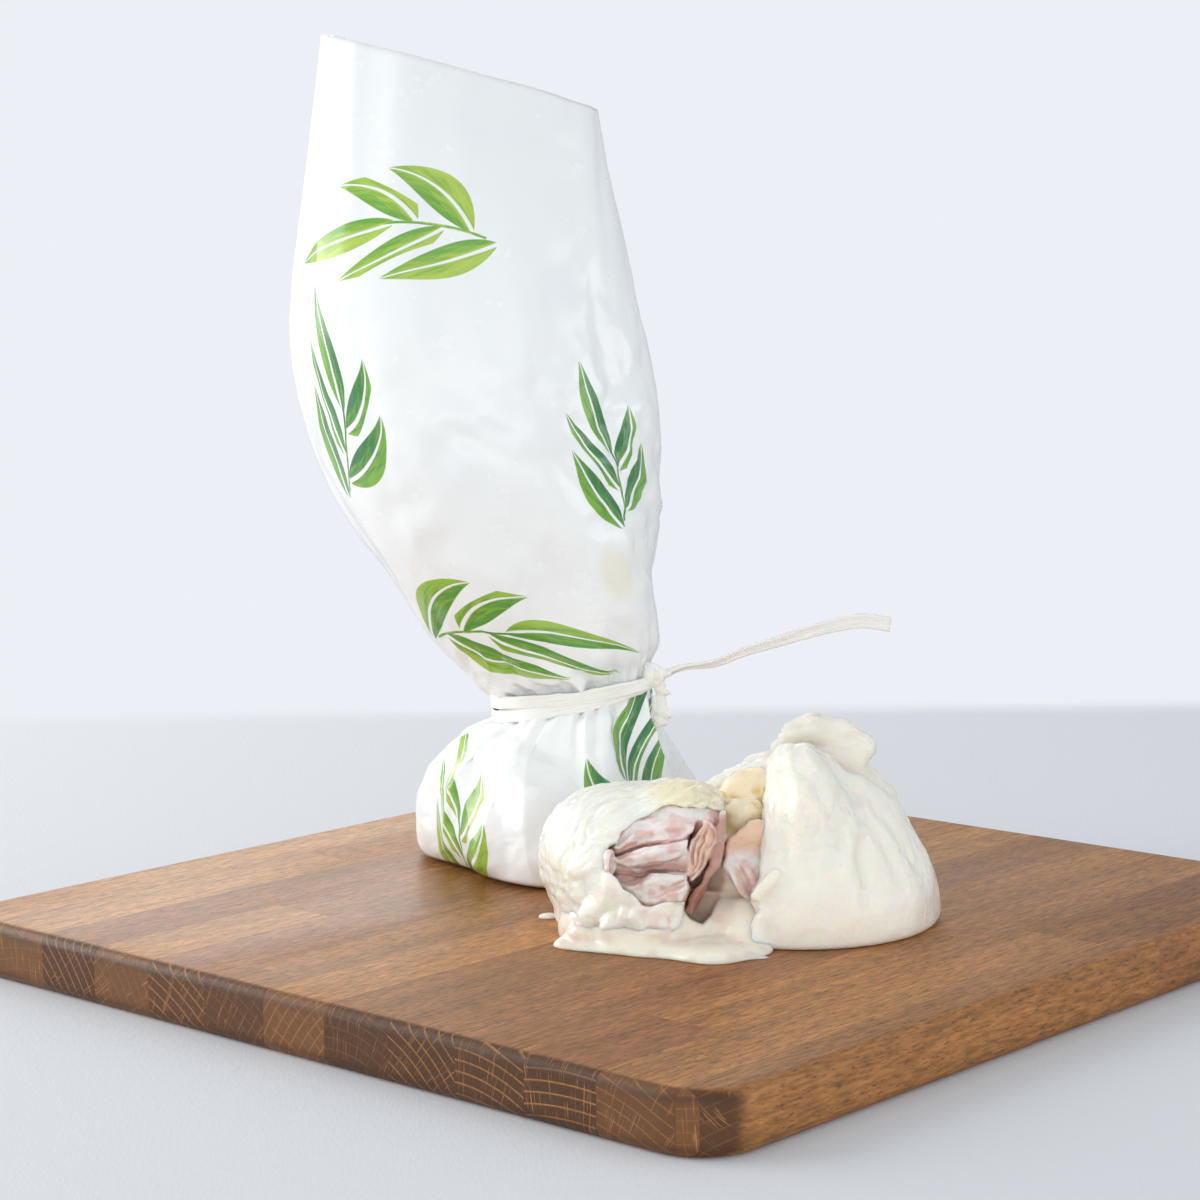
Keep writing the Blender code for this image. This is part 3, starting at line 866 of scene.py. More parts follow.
class MakeBurrataBoard(bpy.types.Operator):
    """Adds the laminated board with its rounded rims"""

    bl_idname = "burrata.board"
    bl_label = "Board"

    def execute(self, context):
        settings = context.scene.burrata_board
        piece = grid_piece("board_wood", board_points(settings), wrap=True, ends=(True, True))
        place_piece(piece, board_material(settings), "board", "board")
        return {"FINISHED"}


# === Film: the tied pack, a closed bulb below the tie and an open funnel above it


class BurrataFilmSettings(bpy.types.PropertyGroup):
    """The printed film of the tied pack"""

    film_colour: colour_property("Film", "The film's unprinted ground", (0.905, 0.93, 0.925))
    cloud_colour: colour_property("Cloudiness", "Faint cloudiness of the ground", (0.875, 0.895, 0.905))
    # Painted reflection: a warm oval patch on the funnel, laid into the film's colour
    reflection_colour: colour_property("Blotch", "Cream that shows through", (0.83, 0.80, 0.60))
    film_thickness: length_property("Thickness", "Thickness of the film", 0.00016)
    crumple_depth: length_property("Crumple", "Depth of the sharp creases", 0.0011)
    pleat_depth: length_property("Pleats", "Depth of the gathers at the tie", 0.0019)
    pleats: IntProperty(name="Pleat Count", description="Number of gathers round the tie", default=25)
    light_green: colour_property("Light Green", "Palest printed leaves", (0.50, 0.65, 0.10))
    mid_green: colour_property("Mid Green", "Middle printed green", (0.16, 0.42, 0.045))
    deep_green: colour_property("Deep Green", "Darkest printed leaves", (0.012, 0.14, 0.075))


# From the foot to the rim: left reach, height at the left, right reach, height at the right, half
# depth, and the pull to three blunt corners
FILM_SECTIONS = (
    (-63.0, 0.0, 10.0, 0.0, 37.0, 0.18),
    (-71.5, 3.0, 17.0, 3.0, 43.0, 0.15),
    (-74.0, 12.0, 19.0, 12.0, 46.5, 0.09),
    (-70.0, 27.0, 15.5, 27.0, 43.0, 0.05),
    (-61.5, 39.5, 8.0, 40.0, 33.0, 0.03),
    (-46.5, 50.5, 1.5, 59.0, 19.5, 0.0),
    (-56.0, 60.0, 5.0, 71.0, 27.0, 0.0),
    (-73.0, 80.0, 6.0, 89.0, 36.0, 0.0),
    (-97.0, 118.0, 8.4, 120.0, 43.0, 0.0),
    (-107.0, 152.0, 7.0, 150.0, 44.0, 0.0),
    (-108.5, 184.0, 0.5, 184.0, 41.0, 0.0),
    (-103.5, 222.0, -6.0, 214.0, 35.0, 0.0),
    (-98.0, 261.5, -10.5, 238.0, 29.0, 0.0),
)
NECK_SECTION = 5
RIM_START_SECTION = 9
FILM_DEPTH_AXIS = 52.0
FILM_BACK_DROP = 24.0
FILM_TRINE_ANGLE = math.radians(152)
FRONT_ANGLE = math.radians(270)
FUNNEL_EDGE_ANGLE = math.radians(184)
FUNNEL_TURN = math.radians(385)
FUNNEL_FRONT_COLUMNS = 190
FUNNEL_BACK_COLUMNS = 112
FUNNEL_ROWS = 152
FUNNEL_OVERLAP = 0.12
BULB_COLUMNS = 440
BULB_LEAST_HEIGHT = 0.35
# Middle of the painted reflection on the funnel, a warm oval patch, and a place off the sheet for none,
# on a UV map whose height is drawn in so that the patch is taller than wide
REFLECTION_STRETCH = (1.0, 0.62, 1.0)
FUNNEL_REFLECTION = (0.031, 0.02914, 0.0)
NO_REFLECTION = (1.0, 1.0, 0.0)


def film_surface(places, angles, inset):
    """Rings round the pack. Each is an oval between its section's left and right reach, tilted from
    one height to the other, pulled out to three corners, its back lowered near the rim. Places are
    section numbers down the rows, angles run along the columns, inset draws the oval in."""
    last = len(FILM_SECTIONS) - 1
    fine = smooth_rows(FILM_SECTIONS, last * 40 + 1)
    table = [np.interp(places, np.arange(len(fine)) / 40, fine[:, k])[:, None] for k in range(6)]
    left, left_height, right, right_height, depth, trine = table
    angles = np.broadcast_to(angles, (len(places), angles.shape[-1]))
    pull = 1 + trine * np.cos(3 * (angles - FILM_TRINE_ANGLE))
    x = (left + right) / 2 + ((right - left) / 2 - inset) * np.cos(angles) * pull
    y = FILM_DEPTH_AXIS + (depth - inset) * np.sin(angles) * pull
    z = (left_height + right_height) / 2 + (right_height - left_height) / 2 * np.cos(angles)
    late = np.clip((places - RIM_START_SECTION) / (last - RIM_START_SECTION), 0, None)[:, None]
    z = z - FILM_BACK_DROP * late * np.clip(np.sin(angles), 0, None)
    return stacked(x, y, z)


def unroll(points, front_column, start_row):
    """Distances over the sheet: along each row from its front column, and up the front column from
    the start row."""
    steps = np.linalg.norm(np.diff(points, axis=1), axis=-1)
    across = np.hstack([np.zeros((len(points), 1)), np.cumsum(steps, axis=1)])
    across -= across[:, front_column : front_column + 1]
    climbs = np.linalg.norm(np.diff(points[:, front_column], axis=0), axis=-1)
    up = np.concatenate([[0], np.cumsum(climbs)])
    return across, np.broadcast_to((up - up[start_row])[:, None], across.shape)


def pleat_relief(angles, distance, count, reach, seed):
    """Gathers that radiate from the tie: a triangle wave round the neck, its folds crowded and spread
    by soft noise, fading with distance from the tie."""
    wander = soft_noise(stacked(angles * 1.3, distance / 30), seed)
    phase = angles * count / (2 * math.pi) + 0.9 * wander
    wave = 1 - 2 * np.abs(2 * (phase - np.floor(phase)) - 1)
    strength = 0.65 + 0.35 * soft_noise(stacked(angles * 3.1, distance / 60), seed + 7)
    return wave * strength * np.exp(-distance / reach)


LEAF_SPREAD = math.radians(30)
LEAF_SPACING = 0.46
LEAF_WIDTH = 0.15
LEAF_BOW = 0.3
LEAF_FULLNESS = 0.78
LEAF_SHRINK = 0.09
MIDRIB_WIDTH = 0.0005
STEM_EDGE = (0.00055, 0.0003)
PRINT_EDGE = 0.0003


def leaf_blade(w, along, across, length):
    """Mask, place along and place across of a blade: its half width is a sine of the way along it,
    it bends like a bow, and its midrib is left bare."""
    t = w.math("DIVIDE", along, length, clamp=True)
    rest = w.math("SUBTRACT", 1.0, t)
    width = w.times(length, LEAF_WIDTH)
    side = w.math("SUBTRACT", across, w.times(t, rest, w.times(length, LEAF_BOW)))
    half = w.math("SINE", w.times(w.math("POWER", t, LEAF_FULLNESS), math.pi))
    away = w.math("ABSOLUTE", side)
    inside = w.remap(w.math("SUBTRACT", w.times(half, width), away), 0.0, PRINT_EDGE)
    bare = w.remap(w.scaled(rest, -MIDRIB_WIDTH, away), 0.0, PRINT_EDGE)
    return w.times(inside, bare), t, w.math("DIVIDE", side, width)


def sprig_group():
    """A printed sprig laid over what is printed before it. Both sides of the stem are folded onto
    one, each point is given to the leaf whose axis passes nearest, and a last leaf ends the stem.
    The field holds the place along the leaf, the place across it and the tone."""

    def build(w, given):
        root = given["Root"]
        turned = w.add(
            "ShaderNodeVectorRotate",
            {"Vector": given["Place"], "Center": root, "Angle": given["Turn"]},
            rotation_type="Z_AXIS",
        )
        x, y, _ = w.split(w.vector("SUBTRACT", turned, root))
        y = w.math("SUBTRACT", y, w.times(x, x, given["Curve"]))
        length = given["Length"]
        spacing = w.times(length, LEAF_SPACING)
        away = w.math("ABSOLUTE", y)
        stagger = w.times(w.math("SIGN", y), w.times(spacing, 0.25))
        shifted = w.math("ADD", x, stagger)
        rooted = w.scaled(away, -1 / math.tan(LEAF_SPREAD), shifted)
        cell = w.math("ROUND", w.math("DIVIDE", rooted, spacing))
        last = w.math("SUBTRACT", given["Pairs"], 1.0)
        cell = w.math("MINIMUM", w.math("MAXIMUM", cell, 0.0), last)
        from_root = w.math("SUBTRACT", shifted, w.times(cell, spacing))
        rise = w.times(away, math.sin(LEAF_SPREAD))
        along = w.scaled(from_root, math.cos(LEAF_SPREAD), rise)
        drop = w.times(from_root, -math.sin(LEAF_SPREAD))
        across = w.scaled(away, math.cos(LEAF_SPREAD), drop)
        shrunk = w.times(length, w.scaled(cell, -LEAF_SHRINK, 1.0))
        side_mask, side_t, side_ratio = leaf_blade(w, along, across, shrunk)
        stem = w.times(given["Pairs"], spacing)
        tip_along = w.math("SUBTRACT", x, w.math("SUBTRACT", stem, w.times(spacing, 0.4)))
        tip_mask, tip_t, tip_ratio = leaf_blade(w, tip_along, y, w.times(length, 0.95))
        on_stem = w.times(
            w.remap(away, *STEM_EDGE),
            w.remap(x, -0.0002, 0.0002),
            w.math("LESS_THAN", x, stem),
        )
        mask = w.math("MAXIMUM", w.math("MAXIMUM", side_mask, tip_mask), on_stem)
        side_field = w.join(side_t, side_ratio, given["Tone"])
        tip_field = w.join(tip_t, tip_ratio, given["Tone"])
        chosen = w.mix_vectors(tip_mask, side_field, tip_field)
        layered = w.mix_vectors(mask, given["Field"], chosen)
        # the next sprig starts from this one's result, so that they are worked out one by one
        onward = w.vector("MULTIPLY_ADD", layered, (1e-9, 1e-9, 1e-9), given["Place"])
        total = w.math("MAXIMUM", given["Mask"], mask)
        return {"Field": layered, "Mask": total, "Place": onward}

    inputs = [
        ("Field", "vector", None),
        ("Mask", "value", 0.0),
        ("Place", "vector", None),
        ("Root", "vector", None),
        ("Turn", "value", 0.0),
        ("Curve", "value", 0.0),
        ("Length", "value", 0.02),
        ("Pairs", "value", 3.0),
        ("Tone", "value", 0.5),
    ]
    outputs = [("Field", "vector"), ("Mask", "value"), ("Place", "vector")]
    return effect_group("printed_sprig", inputs, outputs, build)


# Sprigs of the print over the unrolled film: (root across, root up, in millimetres, heading in
# degrees, curve to the left for each metre, pairs of leaves, leaf length, tone from light to deep)
FUNNEL_SPRIGS = (
    (8.0, 156.0, 158.0, 9.0, 2, 36.0, 0.10),
    (-52.0, 78.0, 58.0, 11.0, 2, 33.0, 0.80),
    (-40.0, 32.0, 14.0, -9.0, 2, 37.0, 0.45),
    (40.0, 66.0, 78.0, 7.0, 2, 30.0, 0.85),
    (112.0, 120.0, 100.0, 8.0, 3, 32.0, 0.4),
    (150.0, 60.0, 75.0, -8.0, 3, 32.0, 0.7),
)
BULB_SPRIGS = (
    (-44.0, -72.0, 70.0, 8.0, 2, 34.0, 0.25),
    (34.0, -62.0, 118.0, -7.0, 2, 42.0, 0.85),
    (90.0, -50.0, 70.0, 10.0, 2, 26.0, 0.5),
    (-96.0, -52.0, 80.0, -12.0, 2, 26.0, 0.1),
    (150.0, -58.0, 95.0, 8.0, 3, 26.0, 0.6),
)


def printed_colour(w, settings, ground, sprigs):
    """The film's ground with the sprigs over it, painted in streaks from each leaf's field."""
    place = w.uv_place()
    field = w.join(0.0, 0.0, 0.0)
    mask = 0.0
    for across, up, heading, curve, pairs, length, tone in sprigs:
        laid = w.use(
            sprig_group(),
            Field=field,
            Mask=mask,
            Place=place,
            Root=(across * MM, up * MM, 0.0),
            Turn=-math.radians(heading),
            Curve=curve,
            Length=length * MM,
            Pairs=pairs,
            Tone=tone,
        )
        field, mask, place = laid["Field"], laid["Mask"], laid["Place"]
    t, ratio, tone = w.split(field)
    lean = w.scaled(w.math("ABSOLUTE", ratio), -0.5, t)
    broad = w.noise(w.join(w.times(lean, 2.0), ratio, tone), 2.6, 2.0, 0.6)
    fine = w.noise(w.join(lean, w.times(ratio, 8.0), tone), 2.6, 3.0, 0.65)
    shade = w.scaled(fine, 0.7, w.times(broad, 0.7))
    shade = w.scaled(ratio, 0.22, shade)
    pale = w.mix(tone, settings.light_green, settings.mid_green)
    dark = w.mix(tone, settings.mid_green, settings.deep_green)
    return w.mix(mask, ground, w.mix(w.remap(shade, 0.48, 0.92), dark, pale))


def film_material(name, settings, sprigs, reflection_middle):
    """Glossy white film: print, faint cloudiness and a painted reflection, a warm oval patch."""
    material, w, shader = plain_material(
        name, 0.2, Specular_IOR_Level=0.55, Coat_Weight=0.35, Coat_Roughness=0.06
    )
    cloud = w.remap(w.noise(w.object_place(), 38.0, 3.0), 0.4, 0.85)
    ground = w.mix(cloud, settings.film_colour, settings.cloud_colour)
    # painted reflection: a warm oval patch round its middle, mixed into the ground
    away = w.vector("DISTANCE", w.stretch(w.uv_place(), REFLECTION_STRETCH), reflection_middle, output=1)
    stain_and_reflection = w.times(w.remap(away, 0.0085, 0.004), 0.5)
    ground = w.mix(stain_and_reflection, ground, settings.reflection_colour)
    haze = w.noise(w.object_place(), 90.0, 3.0, 0.6)
    ripple = w.noise(w.stretch(w.object_place(), (1.0, 1.0, 0.45)), 260.0, 2.0)
    w.drive(
        shader,
        Base_Color=printed_colour(w, settings, ground, sprigs),
        Roughness=w.remap(haze, 0.3, 0.75, 0.19, 0.29),
        Normal=w.bump(ripple, 0.00006, 0.3),
    )
    return material


def make_funnel(settings):
    """The open funnel: one sheet wound round from its free edge at the left, past the front, the
    right and the back, to its inner end under the front edge."""
    front_share = math.pi / FUNNEL_TURN
    turn = np.concatenate([
        np.linspace(0, front_share, FUNNEL_FRONT_COLUMNS, endpoint=False),
        np.linspace(front_share, 1, FUNNEL_BACK_COLUMNS),
    ])
    angles = FUNNEL_EDGE_ANGLE + turn * FUNNEL_TURN
    rise = np.linspace(0, 1, FUNNEL_ROWS) ** 1.25
    start = NECK_SECTION - FUNNEL_OVERLAP
    places = start + rise * (len(FILM_SECTIONS) - 1 - start)
    open_up = ramp(places, NECK_SECTION, NECK_SECTION + 2.5)[:, None]
    inset = 0.4 + turn[None] * (0.5 + 1.9 * open_up)
    points = film_surface(places, angles, inset)
    front_column = int(np.argmin(np.abs(angles - FRONT_ANGLE)))
    across, up = unroll(points, front_column, 0)
    inner = ramp(angles, math.radians(505), math.radians(542))[None]
    calm = 1 - 0.85 * inner
    flutes = 1.5 * soft_noise(stacked(across / 21, up / 150), 11)
    flutes += 0.6 * soft_noise(stacked(across / 9, up / 60), 12)
    flutes *= ramp(up, 5, 60)
    near_right = bump_at(across, 44, 26) * bump_at(up, 78, 52)
    patchy = 0.5 + 0.5 * soft_noise(stacked(across / 25, up / 25), 13)
    sharp = 0.16 + 0.55 * patchy * ramp(up, 175, 90) + 1.25 * near_right
    sharp += 0.9 * np.exp(-up / 16)
    crumple_depth = settings.crumple_depth / MM
    relief = flutes + crumple_depth * sharp * crumple(across, up, 13.0, 21)
    relief += 0.2 * crumple_depth * near_right * crumple(across, up, 4.5, 31)
    pleats = pleat_relief(angles[None], up, settings.pleats, 11.0, 41)
    folds = pleat_relief(angles[None], up, 9, 26.0, 43)
    relief += settings.pleat_depth / MM * (pleats * 0.8 + folds * 1.1) * ramp(up, 0, 4)
    relief *= calm
    # the sheet swells out twice just before its overlap, and its free edge curls a little
    relief += 5.0 * bump_at(angles, math.radians(527), math.radians(9))[None] * bump_at(up, 128, 13)
    relief += 2.2 * bump_at(angles, math.radians(524), math.radians(12))[None] * bump_at(up, 70, 40)
    relief += 1.1 * np.exp(-(angles - angles[0]) / math.radians(5))[None] * ramp(up, 20, 120)
    points = points + grid_normals(points) * relief[..., None]
    uv = stacked(across, up) * MM
    piece = grid_piece("film_funnel", to_row(points), uv=uv)
    wall = piece.modifiers.new("film", "SOLIDIFY")
    wall.thickness = settings.film_thickness
    wall.offset = -1
    material = film_material("printed_film_upper", settings, FUNNEL_SPRIGS, FUNNEL_REFLECTION)
    return place_piece(piece, material, "wrapper", "wrapper")


# Corners of the folded bulb, in degrees round it: creases run down from the tie at these angles
BULB_CORNERS = (8.0, 37.0, 75.0, 112.0, 151.0, 184.0, 207.0, 233.0, 262.0, 287.0, 306.0, 334.0)
BULB_CORNER_DRIFT = (5.0, -9.0, 8.0, -6.0, 4.0, -5.0, 9.0, 12.0, -8.0, 7.0, -10.0, 6.0)


def chord_pull(angles, height_share):
    """How far a ring is drawn in towards the straight chords between its corners: the chord's radius
    over the circle's, cos(half gap) / cos(angle from the middle of the gap)."""
    corners = np.radians(np.array(BULB_CORNERS)[None] + np.array(BULB_CORNER_DRIFT)[None] * height_share)
    corners = np.concatenate([corners - 2 * math.pi, corners, corners + 2 * math.pi], axis=1)
    gap = np.full((len(corners), len(angles)), -1)
    for k in range(corners.shape[1]):
        gap += angles[None] >= corners[:, k : k + 1]
    low = np.take_along_axis(corners, gap, axis=1)
    high = np.take_along_axis(corners, gap + 1, axis=1)
    half = (high - low) / 2
    return np.cos(half) / np.cos(angles[None] - (low + high) / 2)


def make_bulb(settings):
    """The shut bulb: rings from the foot to the tie, drawn in to flat facets between the creases that
    radiate from the tie, crumpled, and closed at the foot and inside the neck."""
    columns = BULB_COLUMNS
    angles = math.pi / 2 + np.arange(columns) * 2 * math.pi / columns
    places = np.concatenate([np.linspace(0, 2, 40, endpoint=False), np.linspace(2, NECK_SECTION, 92)])
    points = film_surface(places, angles, 0.4)
    centre = points.mean(axis=1, keepdims=True)
    height = ramp(places, 0.0, NECK_SECTION)[:, None]
    strength = ramp(places, 0.3, 2.2) * ramp(places, NECK_SECTION, NECK_SECTION - 0.7)
    pull = 1 + (chord_pull(angles, height) - 1) * (0.4 + 1.4 * strength[:, None])
    points[..., :2] = centre[..., :2] + (points[..., :2] - centre[..., :2]) * pull[..., None]
    wrapped = np.concatenate([points, points[:, :1]], axis=1)
    front_column = columns // 2
    across, up = unroll(wrapped, front_column, len(places) - 1)
    across_in = across[:, :-1]
    up_in = up[:, :-1]
    low = ramp(places, 0.6, 1.6)[:, None]
    pleats = pleat_relief(angles[None], -up_in, settings.pleats, 8.0, 61)
    folds = pleat_relief(angles[None], -up_in, 11, 22.0, 63)
    ripple = soft_noise(stacked(2.6 * np.cos(angles), 2.6 * np.sin(angles), up_in / 22), 65)
    relief = settings.pleat_depth / MM * (pleats * 0.7 + folds * 0.8) * ramp(-up_in, 0, 3)
    crumple_depth = settings.crumple_depth / MM * low
    relief += crumple_depth * 1.3 * crumple(across_in, up_in, 17.0, 71)
    relief += crumple_depth * 0.2 * crumple(across_in, up_in, 6.5, 81)
    relief += 0.8 * low * ripple
    relief += 2.2 * bump_at(across_in, 9, 8) * bump_at(up_in, -9, 4)
    seam = np.minimum(np.arange(columns), columns - np.arange(columns))[None] / columns
    relief *= ramp(seam, 0.0, 0.012) * 0.999 + 0.001
    relief = np.maximum(relief, -3.0) * ramp(places, 0.0, 0.5)[:, None]
    points = points + grid_normals(points, wrap=True) * relief[..., None]
    points[..., 2] = np.maximum(points[..., 2], BULB_LEAST_HEIGHT)
    foot = points[:1].copy()
    middle = foot.mean(axis=1, keepdims=True)
    inner_foot = np.concatenate([middle + (foot - middle) * share for share in (0.25, 0.6, 0.86)])
    inner_foot[..., 2] = BULB_LEAST_HEIGHT
    neck = points[-1:]
    middle = neck.mean(axis=1, keepdims=True)
    closing = ((0.8, 1.2), (0.5, 2.2), (0.2, 2.6))
    dome = [middle + (neck - middle) * share + np.array([0, 0, lift]) for share, lift in closing]
    points = np.concatenate([inner_foot, points, *dome])
    uv = stacked(across, up) * MM
    uv = np.concatenate([uv[:1]] * len(inner_foot) + [uv] + [uv[-1:]] * len(dome))
    piece = grid_piece("film_bulb", to_row(points), wrap=True, ends=(True, True), uv=uv)
    material = film_material("printed_film_lower", settings, BULB_SPRIGS, NO_REFLECTION)
    return place_piece(piece, material, "wrapper", "wrapper")


class MakeBurrataFilm(bpy.types.Operator):
    """Adds the printed film: the shut bulb and the open funnel above the tie"""

    bl_idname = "burrata.film"
    bl_label = "Film"

    def execute(self, context):
        settings = context.scene.burrata_film
        make_bulb(settings)
        make_funnel(settings)
        return {"FINISHED"}


# === The opened burrata: its torn pouch, the cream and the ham


class BurrataCheeseSettings(bpy.types.PropertyGroup):
    """The torn pouch and its cream"""

    grid_step: length_property("Grid Step", "Spacing of the grid that the pouch is drawn on", 0.0008)
    skin_thickness: length_property("Skin", "Thickness of the pouch's wall", 0.0028)
    wrinkle_depth: length_property("Wrinkles", "Depth of the stretched folds", 0.0011)
    skin_colour: colour_property("Skin Colour", "Ivory of the skin", (0.965, 0.912, 0.85))
    skin_shade: colour_property("Skin Shade", "Tint of its darker mottling", (0.985, 0.965, 0.92))
    skin_stain: colour_property("Skin Stain", "Ham that shows through", (0.72, 0.46, 0.40))
    inner_colour: colour_property("Inner Colour", "Yellow of the torn inside", (0.87, 0.79, 0.56))
    cream_colour: colour_property("Cream Colour", "Colour of the cream", (0.95, 0.872, 0.775))
    cream_shade: colour_property("Cream Shade", "Tint of its darker mottling", (0.97, 0.94, 0.88))
    cream_stain: colour_property("Cream Stain", "Juice of the ham in it", (0.70, 0.47, 0.42))
    # Painted shade: this yellow is laid in the cream's recess and is strongest in its hollows, where shade
    # falls
    curd_and_hollow_shade_colour: colour_property("Curd Colour", "Yellow between the curds", (0.82, 0.62, 0.21))
    # Painted shadow: a grey-brown laid in the pocket under the ham, where its shadow falls
    pocket_shadow_colour: colour_property("Pocket Colour", "Deep in the cleft's pocket", (0.50, 0.36, 0.27))
    ham_colour: colour_property("Ham Colour", "Pink of the ham", (0.75, 0.54, 0.50))
    fat_colour: colour_property("Fat Colour", "Pale streaks of fat", (0.78, 0.64, 0.60))
    # Cream on the ham, laid in patches on open fronts that face the camera: partly real cream, partly
    # painted light
    milk_and_light_colour: colour_property("Milk Colour", "Cream that clings to the ham", (0.845, 0.805, 0.785))
    edge_colour: colour_property("Edge Colour", "Thin edges of the slices", (0.84, 0.60, 0.44))
    # Painted shade between the ham's folds and on the shaded wall of its outer slice
    fold_shade_colour: colour_property("Deep Colour", "Deep between the folds", (0.46, 0.235, 0.18))


# The skin was drawn out from this point, where the pouch was tied: its fibres radiate from here
FIBRE_POLE = np.array([44.0, -10.0, 50.0])

# Nothing that lies on the board comes closer to it than this
LEAST_HEIGHT = 0.05

# Cutters widen away from this far point in front, as if the tear were looked into from there
TEAR_APEX = np.array([-13.0, -864.0, 199.0])
TEAR_FRONT = -68.0


def egg(points, centre, radii):
    """Distance to an egg shape, true near its surface: k(k - 1) / |p / r^2|, where k = |p / r|."""
    offset = points - np.asarray(centre, points.dtype)
    radii = np.asarray(radii, points.dtype)
    k = np.linalg.norm(offset / radii, axis=-1)
    steep = np.linalg.norm(offset / (radii * radii), axis=-1)
    return k * (k - 1) / np.maximum(steep, 1e-6)


def rod(points, start, end, start_radius, end_radius):
    """Distance to a rod that tapers from one radius to the other between its ends."""
    start = np.asarray(start, points.dtype)
    axis = np.asarray(end, points.dtype) - start
    t = np.clip((points - start) @ axis / (axis @ axis), 0, 1)
    away = np.linalg.norm(points - start - t[..., None] * axis, axis=-1)
    return away - (start_radius + (end_radius - start_radius) * t)


def melt(a, b, blend):
    """Union of two distances with a fillet: the smaller one, less k h(1 - h) where they are close."""
    h = np.clip(0.5 + 0.5 * (b - a) / blend, 0, 1)
    return b + (a - b) * h - blend * h * (1 - h)


def melt_all(forms, blend):
    """Union of several distances, each melted into those before it."""
    total = forms[0]
    for form in forms[1:]:
        total = melt(total, form, blend)
    return total


def carve(a, b, blend):
    """The part of a that lies outside b, with a rounded edge."""
    return -melt(-a, b, blend)


def keep(a, b, blend):
    """The part of a that lies inside b, with a rounded edge."""
    return -melt(-a, -b, blend)


def seen_from_front(points):
    """Across and up of each point, scaled about the tear's apex to the plane of the tear's front."""
    share = (TEAR_FRONT - TEAR_APEX[1]) / (points[..., 1] - TEAR_APEX[1])
    across = TEAR_APEX[0] + (points[..., 0] - TEAR_APEX[0]) * share
    up = TEAR_APEX[2] + (points[..., 2] - TEAR_APEX[2]) * share
    return across, up


def chain_distance(across, up, chain):
    """Distance in a plane to a chain of straight segments."""
    nearest = np.full(across.shape, 1e9, across.dtype)
    for (a, b), (c, d) in zip(chain[:-1], chain[1:]):
        length = (c - a) ** 2 + (d - b) ** 2
        t = np.clip(((across - a) * (c - a) + (up - b) * (d - b)) / length, 0, 1)
        nearest = np.minimum(nearest, np.hypot(across - a - t * (c - a), up - b - t * (d - b)))
    return nearest


def outline_distance(across, up, outline):
    """Distance in a plane to a closed outline, negative inside it. A point is inside when a line to
    its right crosses the outline an odd number of times."""
    closed = tuple(outline) + (outline[0],)
    inside = np.zeros(across.shape, bool)
    for (a, b), (c, d) in zip(closed[:-1], closed[1:]):
        level = (b > up) != (d > up)
        slope = (c - a) / (d - b) if d != b else 0.0
        inside ^= level & (across < a + (up - b) * slope)
    return np.where(inside, -1, 1) * chain_distance(across, up, closed)


# Height and reach of the torn edge of the right half
TORN_EDGE_HEIGHTS = (0.0, 2.0, 5.0, 9.0, 13.0, 17.0, 20.0, 24.0, 30.0, 38.0, 45.0, 52.0, 58.0)
TORN_EDGE_REACH = (28.5, 26.0, 26.6, 29.6, 28.0, 28.4, 30.4, 30.2, 30.4, 31.1, 31.6, 32.8, 35.0)

# The tear in the left half as it is seen from the front: clockwise from the left corner of the mouth
TEAR = (
    (-13.2, 24.0), (-11.8, 28.3), (-9.0, 29.6), (-8.6, 33.2), (-4.8, 36.0), (-1.0, 38.6), (3.0, 40.4),
    (8.0, 41.0), (13.0, 40.4), (17.0, 39.6), (20.4, 39.0), (20.6, 43.0), (19.4, 47.2), (20.0, 60.0),
    (40.0, 60.0), (40.0, 1.5), (11.0, 1.5), (8.6, 4.0), (8.2, 8.0), (9.0, 11.0),
    (9.2, 13.3), (3.0, 13.0), (-2.8, 12.9), (-5.5, 15.5), (-8.0, 17.6), (-9.6, 20.2), (-11.6, 22.3),
)

# Lumps of ham under cream along the lower lip
LIP_LUMPS = (
    ((-16.5, -66.0, 10.0), (4.2, 3.2, 3.6)),
    ((-11.0, -69.4, 7.6), (4.0, 3.0, 3.2)),
    ((-18.5, -63.5, 5.0), (4.4, 4.2, 3.4)),
    ((-5.0, -71.0, 10.4), (4.6, 3.0, 3.0)),
    ((1.5, -73.0, 8.0), (4.4, 2.8, 3.0)),
    ((-12.5, -67.0, 13.6), (3.2, 3.2, 2.6)),
)


def left_half(points):
    """The left half of the pouch before it is torn: a pillow that sags into a skirt and a foot."""
    form = egg(points, (0.5, -37.0, 17.5), (31.5, 37.0, 24.0))
    form = melt(form, egg(points, (-13.0, -40.0, 24.0), (18.5, 25.0, 16.5)), 5.0)
    form = melt(form, egg(points, (10.0, -46.0, 35.0), (13.0, 16.0, 8.6)), 5.0)
    form = melt(form, egg(points, (0.0, -43.0, 2.0), (26.0, 31.0, 13.0)), 6.0)
    form = melt(form, rod(points, (-14.0, -60.0, 2.0), (-24.5, -64.0, 0.0), 5.0, 1.6), 4.0)
    return melt_all([form] + [egg(points, centre, radii) for centre, radii in LIP_LUMPS], 1.8)


